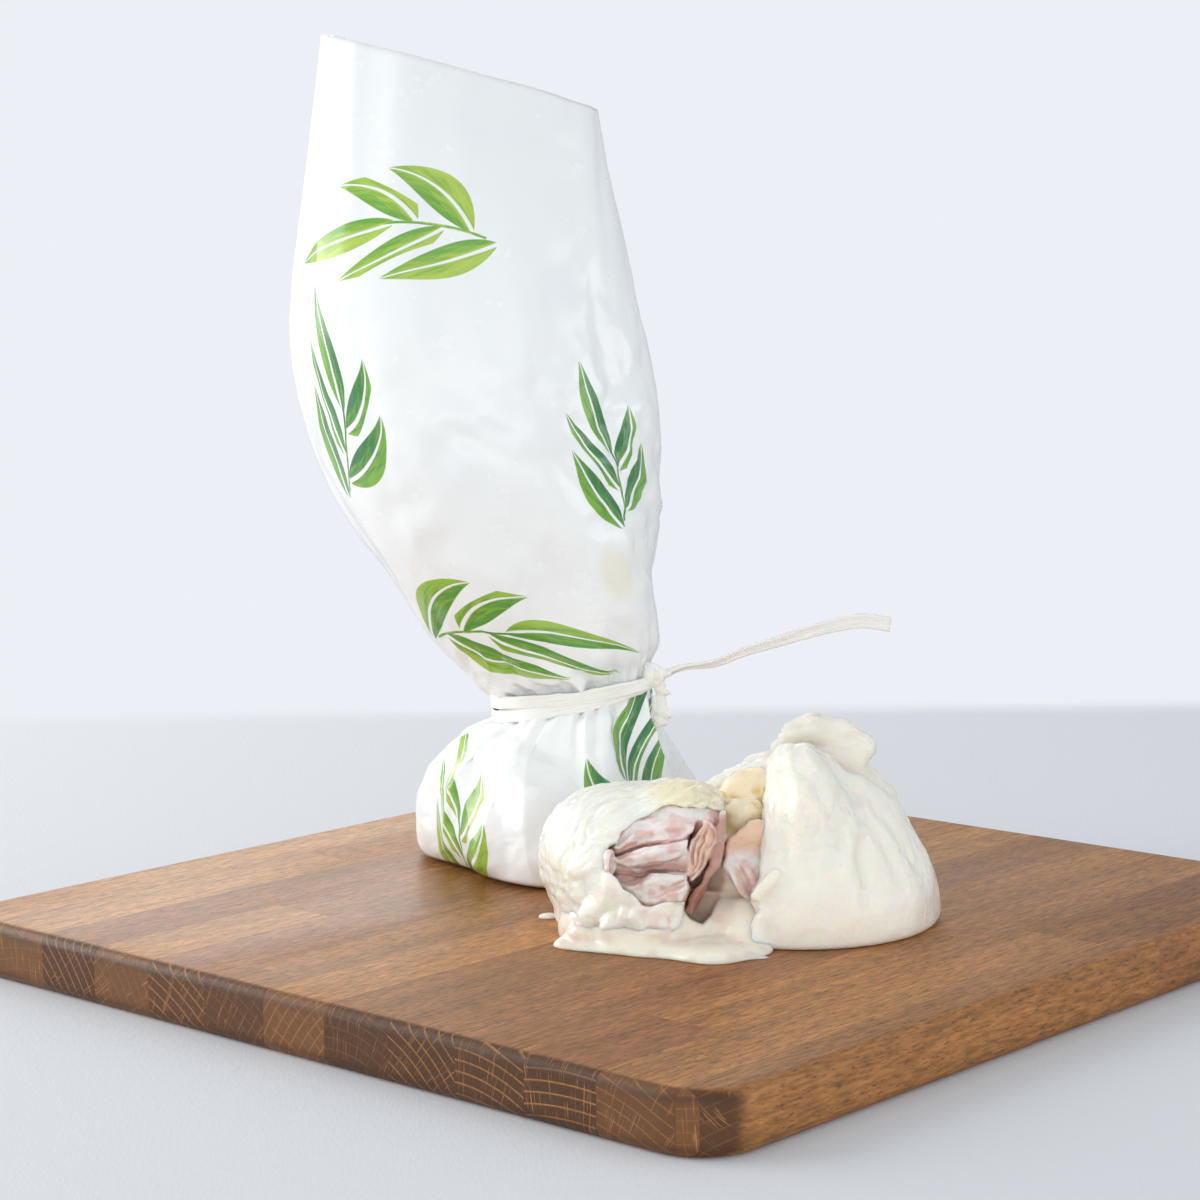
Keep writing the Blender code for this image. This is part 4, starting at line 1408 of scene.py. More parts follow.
def right_half(points):
    """The right half: a broad drape that is cut along its torn edge, with a curled lip."""
    form = egg(points, (44.0, -31.0, 4.0), (41.0, 42.0, 33.0))
    ridge = egg(points, (43.0, -33.0, 30.0), (14.5, 27.0, 20.3))
    shoulder = egg(points, (57.5, -29.0, 19.5), (19.5, 26.0, 18.0))
    form = melt(melt(form, ridge, 6.0), shoulder, 6.0)
    form = melt(form, rod(points, (36.0, -33.0, 46.0), (47.0, -32.0, 44.5), 4.6, 5.5), 6.0)
    form = melt(form, rod(points, (47.0, -32.0, 42.0), (66.5, -29.0, 30.0), 6.0, 7.2), 5.0)
    across, up = seen_from_front(points)
    edge = table_line(up, TORN_EDGE_HEIGHTS, TORN_EDGE_REACH)
    ragged = 0.5 * soft_noise(stacked(up / 5, points[..., 1] / 9), 101)
    form = keep(form, edge + ragged - across, 2.2)
    lip = rod(points, (34.8, -67.0, 21.0), (29.4, -69.6, 15.4), 1.5, 2.1)
    form = melt(form, lip, 1.6)
    return melt(form, rod(points, (29.0, -71.0, 3.2), (30.0, -71.5, 9.5), 3.2, 2.0), 3.0)


# Points and radii along the loop of drawn skin, and centres and radii of the folds behind it
TOP_LOOP = (
    ((40.5, -14.0, 47.5), 3.4), ((43.5, -13.5, 51.0), 4.2), ((50.0, -13.0, 52.6), 4.4),
    ((58.0, -12.5, 51.0), 4.6), ((63.5, -12.0, 46.8), 4.6), ((60.0, -13.0, 42.0), 4.4),
)
BACK_FOLDS = (((65.5, -10.0, 35.5), 5.4), ((70.0, -10.0, 31.2), 5.2), ((72.0, -11.0, 26.0), 5.0))


def gathered_top(points):
    """Where the pouch was tied: a thick loop of drawn skin over a core, and the folds behind it."""
    loop = [egg(points, (52.0, -9.0, 43.0), (13.5, 9.0, 9.5))]
    for (start, first), (end, second) in zip(TOP_LOOP[:-1], TOP_LOOP[1:]):
        loop.append(rod(points, start, end, first, second))
    folds = [egg(points, (60.0, -10.0, 24.0), (14.5, 14.0, 14.0))]
    for centre, radius in BACK_FOLDS:
        folds.append(egg(points, centre, (radius, radius + 2.0, radius)))
    return melt(melt_all(loop, 1.5), melt_all(folds, 1.6), 2.5)


def bridge_form(points):
    """The wall behind the tear, which rises from the left half to the right one."""
    low = egg(points, (27.0, -17.0, 20.0), (19.0, 16.0, 19.0))
    return melt(low, rod(points, (15.0, -22.0, 31.0), (36.0, -19.0, 40.5), 6.5, 7.0), 3.0)


def pouch_form(points):
    """The whole pouch before it is torn: both halves, the bridge behind and the gathered top."""
    form = melt(left_half(points), right_half(points), 1.5)
    form = melt(form, bridge_form(points), 3.0)
    return melt(form, gathered_top(points), 1.6)


def tear_form(points):
    """What the tear takes away from the left half: its outline seen from the front, bent by soft
    noise, down to a depth that grows from the mouth to the cleft."""
    across, up = seen_from_front(points)
    place = stacked(across / 5, up / 5)
    across = across + 0.7 * soft_noise(place, 111)
    up = up + 0.7 * soft_noise(place, 112)
    outline = outline_distance(across, up, TEAR)
    floor_depth = table_line(across, (12.0, 21.0), (-50.0, -33.0))
    return keep(outline, points[..., 1] - floor_depth, 3.0)


def skin_form(points, thickness):
    """The torn skin: the left half hollowed and torn open, the wall behind, the right half and the
    gathered top, all standing on the board."""
    left = left_half(points)
    thicker = thickness + 2.2 * ramp(points[..., 2], 32.0, 38.0)
    hollow = keep(left + thicker, points[..., 1] + 36.0, 3.0)
    hollow = keep(hollow, 4.0 - points[..., 2], 3.0)
    left = carve(left, hollow, 1.0)
    behind = melt(bridge_form(points), gathered_top(points), 2.0)
    form = carve(melt(left, behind, 3.0), tear_form(points), 1.2)
    form = melt(form, right_half(points), 1.2)
    return keep(form, -points[..., 2], 2.4)


def curd_form(points):
    """Soft curd in the recess: a swelling whose surface breaks into lumps of two sizes."""
    form = egg(points, (29.0, -28.5, 35.0), (8.5, 6.5, 8.5))
    form = melt(form, egg(points, (26.0, -40.0, 30.5), (8.0, 8.0, 6.5)), 3.0)
    return form + 1.5 * soft_noise(points / 5.2, 135) + 0.5 * soft_noise(points / 2.4, 136)


# The pocket under the ham as it is seen from the front
POCKET = (
    (9.6, 20.5), (9.2, 11.0), (11.0, 8.6), (14.2, 7.0), (16.8, 9.4), (18.6, 13.5), (21.2, 19.2),
    (20.0, 26.0), (14.0, 26.0),
)

# How far the film of cream stands off the left half at each height: it runs out up the wall
CREAM_FILM_HEIGHTS = (0.0, 4.0, 6.5, 9.5, 13.0, 17.0)
CREAM_FILM_OFFSETS = (-1.6, -1.2, -0.3, 1.8, 7.0, 40.0)

# Rods of the pool, in a space whose heights count for more: start, end, both radii and fillet
POOL_FLATNESS = 2.6
POOL_RODS = (
    ((0.0, -70.0, 0.0), (17.0, -76.0, 0.0), 7.5, 10.0, 4.0),
    ((17.0, -76.0, 0.0), (26.0, -72.0, 0.0), 10.0, 8.0, 4.0),
    ((23.0, -78.5, 0.0), (34.0, -80.2, 0.0), 4.0, 0.5, 2.0),
    ((-19.0, -64.0, 0.0), (-24.8, -64.0, 0.0), 4.0, 0.6, 2.5),
)


def cream_form(points, thickness):
    """The cream: the filling behind the ham, curd in the recess, the run that slopes out of the cleft,
    the pool with its pointed lip, and the film of cream that joins the pool to the pouch."""
    front = table_line(points[..., 0], (-12.0, -4.0), (60.0, 50.0))
    filling = keep(left_half(points) + thickness - 0.4, -(points[..., 1] + front), 3.0)
    filling = keep(filling, points[..., 0] - 27.0, 3.0)
    filling = carve(filling, egg(points, (23.0, -50.0, 40.0), (9.0, 17.0, 9.5)), 3.0)
    form = melt(filling, egg(points, (26.0, -38.0, 15.0), (9.0, 15.0, 15.0)), 4.0)
    form = melt(form, curd_form(points), 1.5)
    form = melt(form, egg(points, (25.5, -58.0, 2.0), (10.0, 16.0, 10.0)), 4.0)
    flat = points * np.array([1.0, 1.0, POOL_FLATNESS], points.dtype)
    pool = rod(flat, (-19.0, -64.5, 0.0), (0.0, -70.0, 0.0), 5.5, 7.5)
    for start, end, first, second, blend in POOL_RODS:
        pool = melt(pool, rod(flat, start, end, first, second), blend)
    form = melt(form, pool, 4.0)
    drop = egg(points, (-29.6, -29.0, 0.0), (3.4, 2.6, 1.5))
    form = np.minimum(form, drop)
    film = left_half(points) + table_line(points[..., 2], CREAM_FILM_HEIGHTS, CREAM_FILM_OFFSETS)
    form = melt(form, keep(film, points[..., 1] + 52.0, 2.0), 4.5)
    pocket = outline_distance(*seen_from_front(points), POCKET)
    form = carve(form, keep(pocket, points[..., 1] + 54.0, 2.0), 1.4)
    return keep(form, -points[..., 2], 1.0)


# The ham's folded slice, seen from the front: at each position across, the height and the forward
# reach of its fold lines from the top down: the upper sheet, the thick ridge with the hollow under it,
# and the lower flap with its crease
HAM_FRONT = -66.0
HAM_ACROSS = (-9.5, -5.0, 0.0, 5.0, 10.0, 13.5)
HAM_FOLDS = (
    ((34.0, 38.0, 41.0, 42.0, 41.5, 41.0), (-9.0, -9.5, -9.5, -9.5, -9.0, -9.0)),
    ((31.0, 35.0, 38.4, 39.4, 39.2, 38.4), (-4.0, -4.8, -5.4, -5.6, -5.0, -5.6)),
    ((29.6, 31.8, 34.4, 35.4, 35.8, 35.6), (-2.6, -2.0, -1.8, -1.2, -1.0, -2.6)),
    ((28.4, 30.2, 31.6, 32.3, 32.5, 32.6), (-3.2, -2.8, -2.4, -1.4, -1.2, -2.6)),
    ((27.4, 28.9, 30.2, 31.0, 31.4, 31.6), (-5.2, -4.4, -3.2, -1.9, -1.7, -3.0)),
    ((26.9, 28.3, 29.6, 30.4, 30.8, 31.0), (-1.0, 0.6, 1.2, 1.3, 0.4, -2.0)),
    ((26.0, 26.5, 27.3, 28.4, 29.4, 29.6), (0.4, 2.2, 3.0, 2.6, 1.0, -2.0)),
    ((25.2, 24.5, 24.7, 26.1, 27.8, 28.2), (0.2, 1.6, 2.2, 1.9, 0.6, -2.4)),
    ((24.4, 23.4, 23.5, 25.1, 27.0, 27.4), (-3.4, -3.6, -3.0, -1.6, -1.2, -3.0)),
    ((22.4, 21.2, 22.2, 22.4, 22.6, 22.6), (-4.8, -5.2, -4.8, -3.2, -2.2, -3.4)),
    ((20.8, 19.8, 21.2, 21.5, 21.0, 20.6), (-2.6, -0.4, 2.0, 2.6, 2.2, -1.0)),
    ((19.0, 17.6, 18.6, 19.5, 20.2, 19.6), (-0.4, 1.8, 3.6, 3.6, 2.8, -1.0)),
    ((17.6, 15.4, 15.4, 17.4, 19.5, 18.8), (-0.6, 1.2, 2.4, 2.5, 2.2, -1.0)),
    ((15.6, 14.2, 14.3, 15.6, 17.0, 16.6), (-0.6, 1.4, 3.2, 4.2, 4.2, 0.5)),
    ((14.4, 13.0, 12.9, 13.2, 14.0, 14.4), (-1.0, 0.8, 2.4, 3.6, 3.6, 0.0)),
    ((13.0, 11.6, 11.4, 11.8, 12.6, 13.4), (-7.0, -7.0, -7.0, -7.0, -7.0, -7.0)),
)
HAM_END_HEIGHTS = (12.0, 14.0, 17.0, 20.5, 24.0, 28.0, 31.0, 36.0, 40.0)
HAM_END_REACH = (8.8, 9.8, 11.0, 10.0, 10.0, 10.4, 10.8, 12.6, 13.2)
HAM_WALL = (
    (19.4, 38.0), (18.8, 33.0), (17.8, 28.0), (16.9, 23.5), (14.6, 19.0), (12.2, 15.0), (10.2, 11.0),
)
HAM_ROLL = (
    (10.4, 21.6), (10.8, 26.7), (12.1, 30.4), (13.9, 33.6), (15.7, 36.2), (17.9, 34.2), (17.8, 30.4),
    (16.6, 27.4), (14.6, 24.6), (12.8, 22.0), (11.3, 20.4),
)
HAM_ROLL_CORES = (
    ((16.2, 34.0), (15.8, 30.6), (14.7, 27.8), (13.2, 24.8), (11.9, 22.6)),
    ((14.6, 33.2), (13.8, 30.2), (12.9, 27.4), (11.8, 24.6)),
)
HAM_TONGUE = (
    (20.2, 23.6), (20.1, 28.8), (21.6, 32.3), (24.0, 34.2), (27.0, 35.6), (30.0, 36.5), (35.0, 36.5),
    (35.0, 13.0), (27.6, 12.6), (25.0, 14.6), (22.4, 18.6),
)


def ham_bend(points, seed, reach=0.9, size=4.5):
    """Points moved by soft noise, so that slices of ham look limp."""
    shift = [soft_noise(points / size, seed + k) for k in range(3)]
    return points + reach * np.stack(shift, axis=-1).astype(points.dtype)


def ham_reach(across, up):
    """How far the folded slice reaches forward: it eases from each fold line to the next one down."""
    lines = [[table_line(across, HAM_ACROSS, row) for row in fold] for fold in HAM_FOLDS]
    reach = lines[0][1]
    for (upper, _), (lower, forward) in zip(lines[:-1], lines[1:]):
        share = np.clip((upper - up) / (upper - lower), 0, 1)
        reach = reach + (forward - reach) * share * share * (3 - 2 * share)
    return reach


def outer_slice(across, up):
    """Distance to the middle of the slice that lines the cleft, which leans right above its bend."""
    return chain_distance(across - 0.9 * ramp(up, 20.0, 26.0), up, HAM_WALL)


def bundle_form(points):
    """The ham in the mouth: a folded slice, the rolled ends beside it, the outer slice that lines the
    cleft and a small curl at the left corner."""
    bent = ham_bend(points, 141, 0.9, 7.0)
    bent = ham_bend(bent, 145, 0.35, 2.2)
    across, up = seen_from_front(bent)
    form = HAM_FRONT - ham_reach(across, up) - bent[..., 1]
    end = table_line(up, HAM_END_HEIGHTS, HAM_END_REACH)
    form = keep(0.62 * form, across - end, 1.6)
    form = keep(form, -10.8 - across, 1.2)
    form = keep(form, bent[..., 1] + 50.0, 2.0)
    form = melt(form, egg(points, (14.5, -52.5, 34.5), (6.0, 7.5, 5.2)), 1.6)
    form = keep(form, outline_distance(*seen_from_front(points), TEAR) - 1.5, 1.0)
    under_lip = left_half(points) + 1.6 - 7.0 * ramp(points[..., 2], 36.5, 31.0)
    form = keep(form, under_lip, 1.2)
    behind_front = bent[..., 1] + 63.2 - 0.3 * (across - 14.0)
    chains = (HAM_ROLL, *HAM_ROLL_CORES)
    roll = np.min([chain_distance(across, up, chain) for chain in chains], axis=0) - 0.45
    backing = keep(outline_distance(across, up, HAM_ROLL), 1.2 - behind_front, 0.6)
    roll = keep(melt(roll, backing, 0.9), np.abs(behind_front - 7.0) - 7.0, 0.9)
    form = melt(form, roll, 0.8)
    wall = outer_slice(across, up) - 0.9 - 0.8 * ramp(up, 20.0, 26.0)
    form = melt(form, keep(wall, np.abs(bent[..., 1] + 52.0) - 8.5, 0.8), 1.0)
    curl = egg(bent, (-11.6, -66.5, 24.6), (1.7, 3.4, 3.9))
    curl = keep(curl, -egg(bent, (-10.2, -69.5, 24.6), (1.3, 4.0, 3.2)), 0.5)
    return melt(form, curl, 0.8)


def tongue_form(points):
    """The slice of ham in the cleft: a limp leaf whose lower part is ruffled."""
    bent = ham_bend(points, 151, 0.8, 5.0)
    across, up = seen_from_front(bent)
    ruffle = ramp(up, 26.0, 22.0)
    middle = -54.5 + 0.04 * (across - 24) ** 2 - 1.1 * ruffle * (1.6 + np.sin(across * 1.1 + up * 0.7))
    return keep(outline_distance(across, up, HAM_TONGUE), np.abs(bent[..., 1] - middle) - 1.5, 1.6)


def surface_net(form, low, high, step):
    """Vertices and quads of the closed surface where the form is zero. A grid cell that the surface
    crosses gets one vertex, at the mean of the crossings on its edges, and each crossed grid edge
    gets a quad through the four cells round it. The vertices then slide down the form's slope onto
    the surface."""
    counts = [int((b - a) / step) + 1 for a, b in zip(low, high)]
    axes = [np.float32(a) + np.float32(step) * np.arange(n, dtype=np.float32) for a, n in zip(low, counts)]
    grid = np.stack(np.meshgrid(*axes, indexing="ij"), axis=-1)
    field = form(grid)
    cells = tuple(n - 1 for n in counts)
    total = np.zeros((cells[0] * cells[1] * cells[2], 3))
    hits = np.zeros(len(total))
    rings = []
    for axis in range(3):
        near = np.take(field, np.arange(counts[axis] - 1), axis=axis)
        far = np.take(field, np.arange(1, counts[axis]), axis=axis)
        at = np.argwhere((near < 0) != (far < 0))
        sides = [k for k in range(3) if k != axis]
        room = np.all((at[:, sides] > 0) & (at[:, sides] < np.array(cells)[sides]), axis=1)
        at = at[room]
        start = near[tuple(at.T)]
        crossing = at.astype(float)
        crossing[:, axis] += start / (start - far[tuple(at.T)])
        ring = []
        for first, second in ((0, 0), (1, 0), (1, 1), (0, 1)):
            cell = at.copy()
            cell[:, sides[0]] -= first
            cell[:, sides[1]] -= second
            number = np.ravel_multi_index(cell.T, cells)
            for k in range(3):
                total[:, k] += np.bincount(number, crossing[:, k], len(total))
            hits += np.bincount(number, minlength=len(total))
            ring.append(number)
        ring = np.column_stack(ring)
        flip = (start < 0) == (axis == 1)
        ring[flip] = ring[flip][:, ::-1]
        rings.append(ring)
    used = np.flatnonzero(hits)
    vertices = np.asarray(low) + total[used] / hits[used, None] * step
    renumber = np.zeros(len(total), int)
    renumber[used] = np.arange(len(used))
    for _ in range(2):
        slope = form_slope(form, vertices)
        reach = form(vertices) / np.maximum((slope * slope).sum(axis=-1), 0.3)
        vertices = vertices - slope * np.clip(reach, -step, step)[:, None] * 0.8
    return vertices, renumber[np.vstack(rings)]


def form_slope(form, points, step=0.35):
    """Slope of a form: half the difference between its values a step to either side, on each axis."""
    slopes = []
    for axis in range(3):
        shift = np.zeros(3)
        shift[axis] = step
        slopes.append((form(points + shift) - form(points - shift)) / (2 * step))
    return np.stack(slopes, axis=-1)


def drawn_body(form, low, high, step, slope_step=0.35):
    """Vertices, quads and unit normals of the closed surface where the form is zero."""
    vertices, quads = surface_net(form, low, high, step)
    return vertices, quads, unit(form_slope(form, vertices, slope_step))


def fibre_place(points):
    """Places along the drawn fibres: the direction from the pole, and the distance from it."""
    offset = points - FIBRE_POLE
    distance = np.linalg.norm(offset, axis=-1, keepdims=True)
    return offset / np.maximum(distance, 1e-6), distance


# Long folds of the right half as they are seen from the front: how deep each one is, and its line
SKIN_SEAMS = (
    (0.85, (
        (47.0, 57.0), (52.0, 50.0), (57.0, 43.5), (58.6, 36.0), (57.6, 27.0), (59.5, 18.0), (58.0, 11.0),
    )),
    (0.3, ((41.0, 52.0), (46.0, 46.0), (50.0, 38.0), (53.0, 28.0))),
    (0.4, ((52.0, 54.0), (61.0, 41.0), (70.0, 30.0), (77.0, 18.0))),
    (0.5, ((60.0, 37.0), (66.0, 28.0), (70.0, 17.0))),
    (0.2, ((36.0, 55.0), (37.5, 44.0), (37.0, 32.0), (39.0, 18.0))),
)


def skin_relief(points):
    """Folds of the drawn skin: soft swells, and creases and pleats stretched along the fibres. They are
    calm low on the right half; on the gathered top they run round the loop instead."""
    direction, distance = fibre_place(points)
    far = np.log(np.maximum(distance, 8.0) / 8.0)
    sway = 0.5 * np.stack([soft_noise(points / 12, 120 + k) for k in range(3)], axis=-1)
    stretched = direction * 9.0 + sway + far * 1.1
    creases = (1 - np.abs(soft_noise(stretched, 124))) ** 6
    pleats = (1 - np.abs(soft_noise(stretched * 2.1 + 7, 125))) ** 5
    threads = soft_noise(stretched * 4.4 + 11, 130)
    swells = soft_noise(stretched * 0.8 + 3, 126)
    x, _, z = np.moveaxis(points, -1, 0)
    calm = ramp(z, 26, 8) * ramp(x, 26, 42)
    drawn = ramp(distance[..., 0], 17, 26)
    side = 0.95 - 0.4 * ramp(x, 22, 34)
    folds = side * (-0.6 * creases - 0.5 * pleats + 0.35 * swells + 0.42 * threads)
    round_loop = stacked(x / 16, points[..., 1] / 2.2, z / 3.4 + 0.05 * x)
    loops = soft_noise(round_loop, 127) - 0.8 * (1 - np.abs(soft_noise(round_loop * 1.7, 128))) ** 4
    across, up = seen_from_front(points)
    for depth, line in SKIN_SEAMS:
        away = chain_distance(across, up, line)
        fold = 0.8 * bump_at(away, 3.2, 2.6) - 1.5 * bump_at(away, 0.0, 1.5)
        folds = folds + depth * fold * ramp(x, 30, 36)
    relief = folds * drawn * (1 - 0.75 * calm) + 0.85 * loops * (1 - drawn)
    return relief + 0.4 * soft_noise(points / 9, 129)


def body_piece(name, vertices, quads, masks, vectors):
    """The mesh of a body from its vertices in the serving frame. Masks are one number for each vertex
    and vectors three, and materials read them by name."""
    piece = mesh_piece(name, to_row(vertices), quads.tolist())
    for values, kind, part in ((masks, "FLOAT", "value"), (vectors, "FLOAT_VECTOR", "vector")):
        for key, numbers in values.items():
            layer = piece.data.attributes.new(key, kind, "POINT")
            layer.data.foreach_set(part, np.asarray(numbers, np.float32).ravel())
    return piece


def moist_group():
    """Moist dairy surface: mottled colour, fibres along the drawn direction and beads of gloss."""

    def build(w, given):
        place = given["Place"]
        mottle = w.noise(place, 130.0, 3.0, 0.6)
        strands = w.noise(given["Fibre"], 1.0, 3.0, 0.6)
        grains = w.noise(place, 900.0, 2.0)
        shade = w.scaled(strands, 0.6, w.times(mottle, 0.5))
        height = w.scaled(grains, 0.35, strands)
        gloss = w.remap(w.noise(place, 70.0, 2.0), 0.35, 0.65)
        return {"Shade": w.remap(shade, 0.35, 0.8), "Height": height, "Gloss": gloss}

    inputs = [("Place", "vector", None), ("Fibre", "vector", None)]
    outputs = [("Shade", "value"), ("Height", "value"), ("Gloss", "value")]
    return effect_group("moist_dairy", inputs, outputs, build)


def dairy_material(name, surface, inside, stain_and_reflection, shade, pocket):
    """Moist dairy with light carried under its surface. The inside colour follows the mask inner, which on
    the cream is partly painted shade in its hollows;
    the colour that shows through follows the mask pink, and the painted shadow colour the mask
    painted_shade; the mask wet adds to its coat."""
    material, w, shader = plain_material(
        name, 0.3, Subsurface_Weight=0.85, Subsurface_Scale=0.0042,
        Subsurface_Radius=(1.0, 0.72, 0.42), Coat_Roughness=0.1,
    )
    fibre = w.mask("fibre", "Vector")
    moist = w.use(moist_group(), Place=w.object_place(), Fibre=fibre)
    colour = w.mix(w.mask("inner"), surface, inside)
    tinted = w.mix(1.0, colour, shade, "MULTIPLY")
    colour = w.mix(w.times(moist["Shade"], 0.35), tinted, colour)
    colour = w.mix(w.mask("pink"), colour, stain_and_reflection)
    # painted shade: the shadow colour laid where the mask painted_shade lies
    colour = w.mix(w.mask("painted_shade"), colour, pocket)
    w.drive(
        shader,
        Base_Color=colour,
        Roughness=w.scaled(moist["Gloss"], -0.16, 0.42),
        Coat_Weight=w.scaled(w.mask("wet"), 0.6, 0.3),
        Normal=w.bump(moist["Height"], 0.0006, 0.8),
    )
    return material


def make_pouch(settings):
    """The torn skin, drawn on a grid and then folded along its fibres: relief along the normals."""
    thickness = settings.skin_thickness / MM

    def form(points):
        """The torn skin at the thickness that is set."""
        return skin_form(points, thickness)

    step = settings.grid_step / MM
    vertices, quads, normals = drawn_body(form, (-37.0, -83.0, -1.2), (92.0, 15.0, 63.0), step)
    depth = -pouch_form(vertices)
    outer = ramp(depth, 2.2, 0.5)
    lifted = ramp(vertices[:, 2], 0.2, 5.0)
    relief = settings.wrinkle_depth / MM * skin_relief(vertices) * (0.3 + 0.7 * outer) * lifted
    vertices = vertices + normals * relief[:, None]
    vertices[:, 2] = np.maximum(vertices[:, 2], LEAST_HEIGHT)
    direction, distance = fibre_place(vertices)
    flap = egg(vertices, (12.5, -52.0, 42.5), (11.0, 16.0, 5.5))
    lumps = np.min([egg(vertices, centre, radii) for centre, radii in LIP_LUMPS], axis=0)
    masks = {
        "inner": np.maximum(1 - outer, 0.9 * ramp(flap, 4.0, -3.0)),
        "pink": 0.6 * ramp(lumps, 1.6, -0.6) * ramp(soft_noise(vertices / 3.6, 133), -0.1, 0.5),
        "painted_shade": np.zeros(len(vertices)),
        "wet": ramp(vertices[:, 2], 19.0, 11.0) * ramp(soft_noise(vertices / 5.0, 137), -0.3, 0.3),
    }
    vectors = {"fibre": direction * 34 + distance * 0.03}
    piece = body_piece("burrata_pouch", vertices, quads, masks, vectors)
    colours = (settings.skin_colour, settings.inner_colour, settings.skin_stain, settings.skin_shade)
    material = dairy_material("stretched_skin", *colours, settings.pocket_shadow_colour)
    return place_piece(piece, material, "skin", "burrata_skin")


def make_cream(settings):
    """The cream, drawn on a finer grid than the skin, with soft lumps where it isn't a pool."""
    thickness = settings.skin_thickness / MM

    def form(points):
        """The cream behind a skin of the thickness that is set."""
        return cream_form(points, thickness)

    step = settings.grid_step / MM * 0.9
    vertices, quads, normals = drawn_body(form, (-35.0, -90.0, -1.2), (38.0, -8.0, 48.0), step)
    _, y, z = vertices.T
    relief = 0.55 * ramp(z, 6, 16) * cloud_noise(vertices / 5.5, 2, 131)
    relief += 0.2 * soft_noise(vertices / 9, 132)
    vertices = vertices + normals * (relief * ramp(z, 0.2, 2.0))[:, None]
    vertices[:, 2] = np.maximum(vertices[:, 2], LEAST_HEIGHT)
    # The inner mask lays the curd yellow in the recess, strongest where the form stays near a step off the
    # surface, in hollows: painted shade
    recess = egg(vertices, (25.0, -36.0, 38.0), (12.0, 15.0, 12.0))
    hollow = 1 - np.clip(form(vertices + normals * 2.5) / 2.5, 0, 1)
    pocket = outline_distance(*seen_from_front(vertices), POCKET)
    low = ramp(z, 16.0, 8.0)
    masks = {
        "inner": ramp(recess, 6.0, -2.0) * np.clip(0.25 + 1.6 * hollow, 0, 1),
        "pink": 0.35 * ramp(soft_noise(vertices / 4.5, 133), 0.1, 0.6) * low,
        # painted shadow in the pocket under the ham
        "painted_shade": ramp(pocket, 0.6, -1.2) * ramp(y, -70.5, -66.0) * ramp(z, 25.0, 14.0),
        "wet": low,
    }
    piece = body_piece("cream_filling", vertices, quads, masks, {"fibre": vertices * 0.18})
    colours = (settings.cream_colour, settings.curd_and_hollow_shade_colour, settings.cream_stain, settings.cream_shade)
    material = dairy_material("cream", *colours, settings.pocket_shadow_colour)
    return place_piece(piece, material, "cream", "cream")


def ham_material(settings):
    """Cooked ham: pink with paler streaks of fat, milky where cream clings on its open fronts, partly
    painted light, with painted shade in the folds, and peach at the thin edges."""
    material, w, shader = plain_material(
        "cooked_ham", 0.34, Subsurface_Weight=0.7, Subsurface_Scale=0.0025,
        Subsurface_Radius=(1.0, 0.45, 0.3), Coat_Weight=0.35, Coat_Roughness=0.15,
    )
    place = w.object_place()
    streak = w.noise(w.stretch(place, (260.0, 260.0, 520.0)), 1.0, 4.0, 0.6)
    mottle = w.noise(place, 520.0, 3.0, 0.6)
    colour = w.mix(w.remap(streak, 0.45, 0.68), settings.ham_colour, settings.fat_colour)
    colour = w.mix(w.mask("edge"), colour, settings.edge_colour)
    # cream in patches on open fronts: partly painted light
    cling = w.remap(w.scaled(mottle, 0.5, w.mask("milk_and_light")), 0.3, 1.15)
    colour = w.mix(cling, colour, settings.milk_and_light_colour)
    # painted shade in the folds and on the outer slice's wall
    colour = w.mix(w.mask("painted_shade"), colour, settings.fold_shade_colour)
    w.drive(shader, Base_Color=colour, Normal=w.bump(mottle, 0.0003, 0.5))
    return material


def ham_masks(form, vertices, normals):
    """Masks from the form at a few steps off the surface: milk_and_light lies in patches on open fronts
    that face the camera, partly painted light; painted_shade is painted shade where the form stays near on
    both steps, in the folds; and edge is where the slice is thin."""
    near = np.clip(form(vertices + normals * 1.2) / 1.2, 0, 1)
    wide = np.clip(form(vertices + normals * 3.5) / 3.5, 0, 1)
    thin = np.clip(form(vertices - normals * 2.0) / -2.0, -1, 1)
    front = ramp(-normals[:, 1], -0.1, 0.7)
    patches = cloud_noise(vertices / 3.2, 2, 161)
    return {
        "milk_and_light": np.clip(front * (0.78 + 0.75 * patches) * ramp(wide, 0.15, 0.75), 0, 1),
        "painted_shade": 0.7 * ramp(near * 0.4 + wide * 0.6, 0.45, 0.08),
        "edge": ramp(thin, 0.35, -0.1) * ramp(near, 0.6, 1.0) * 0.8,
    }


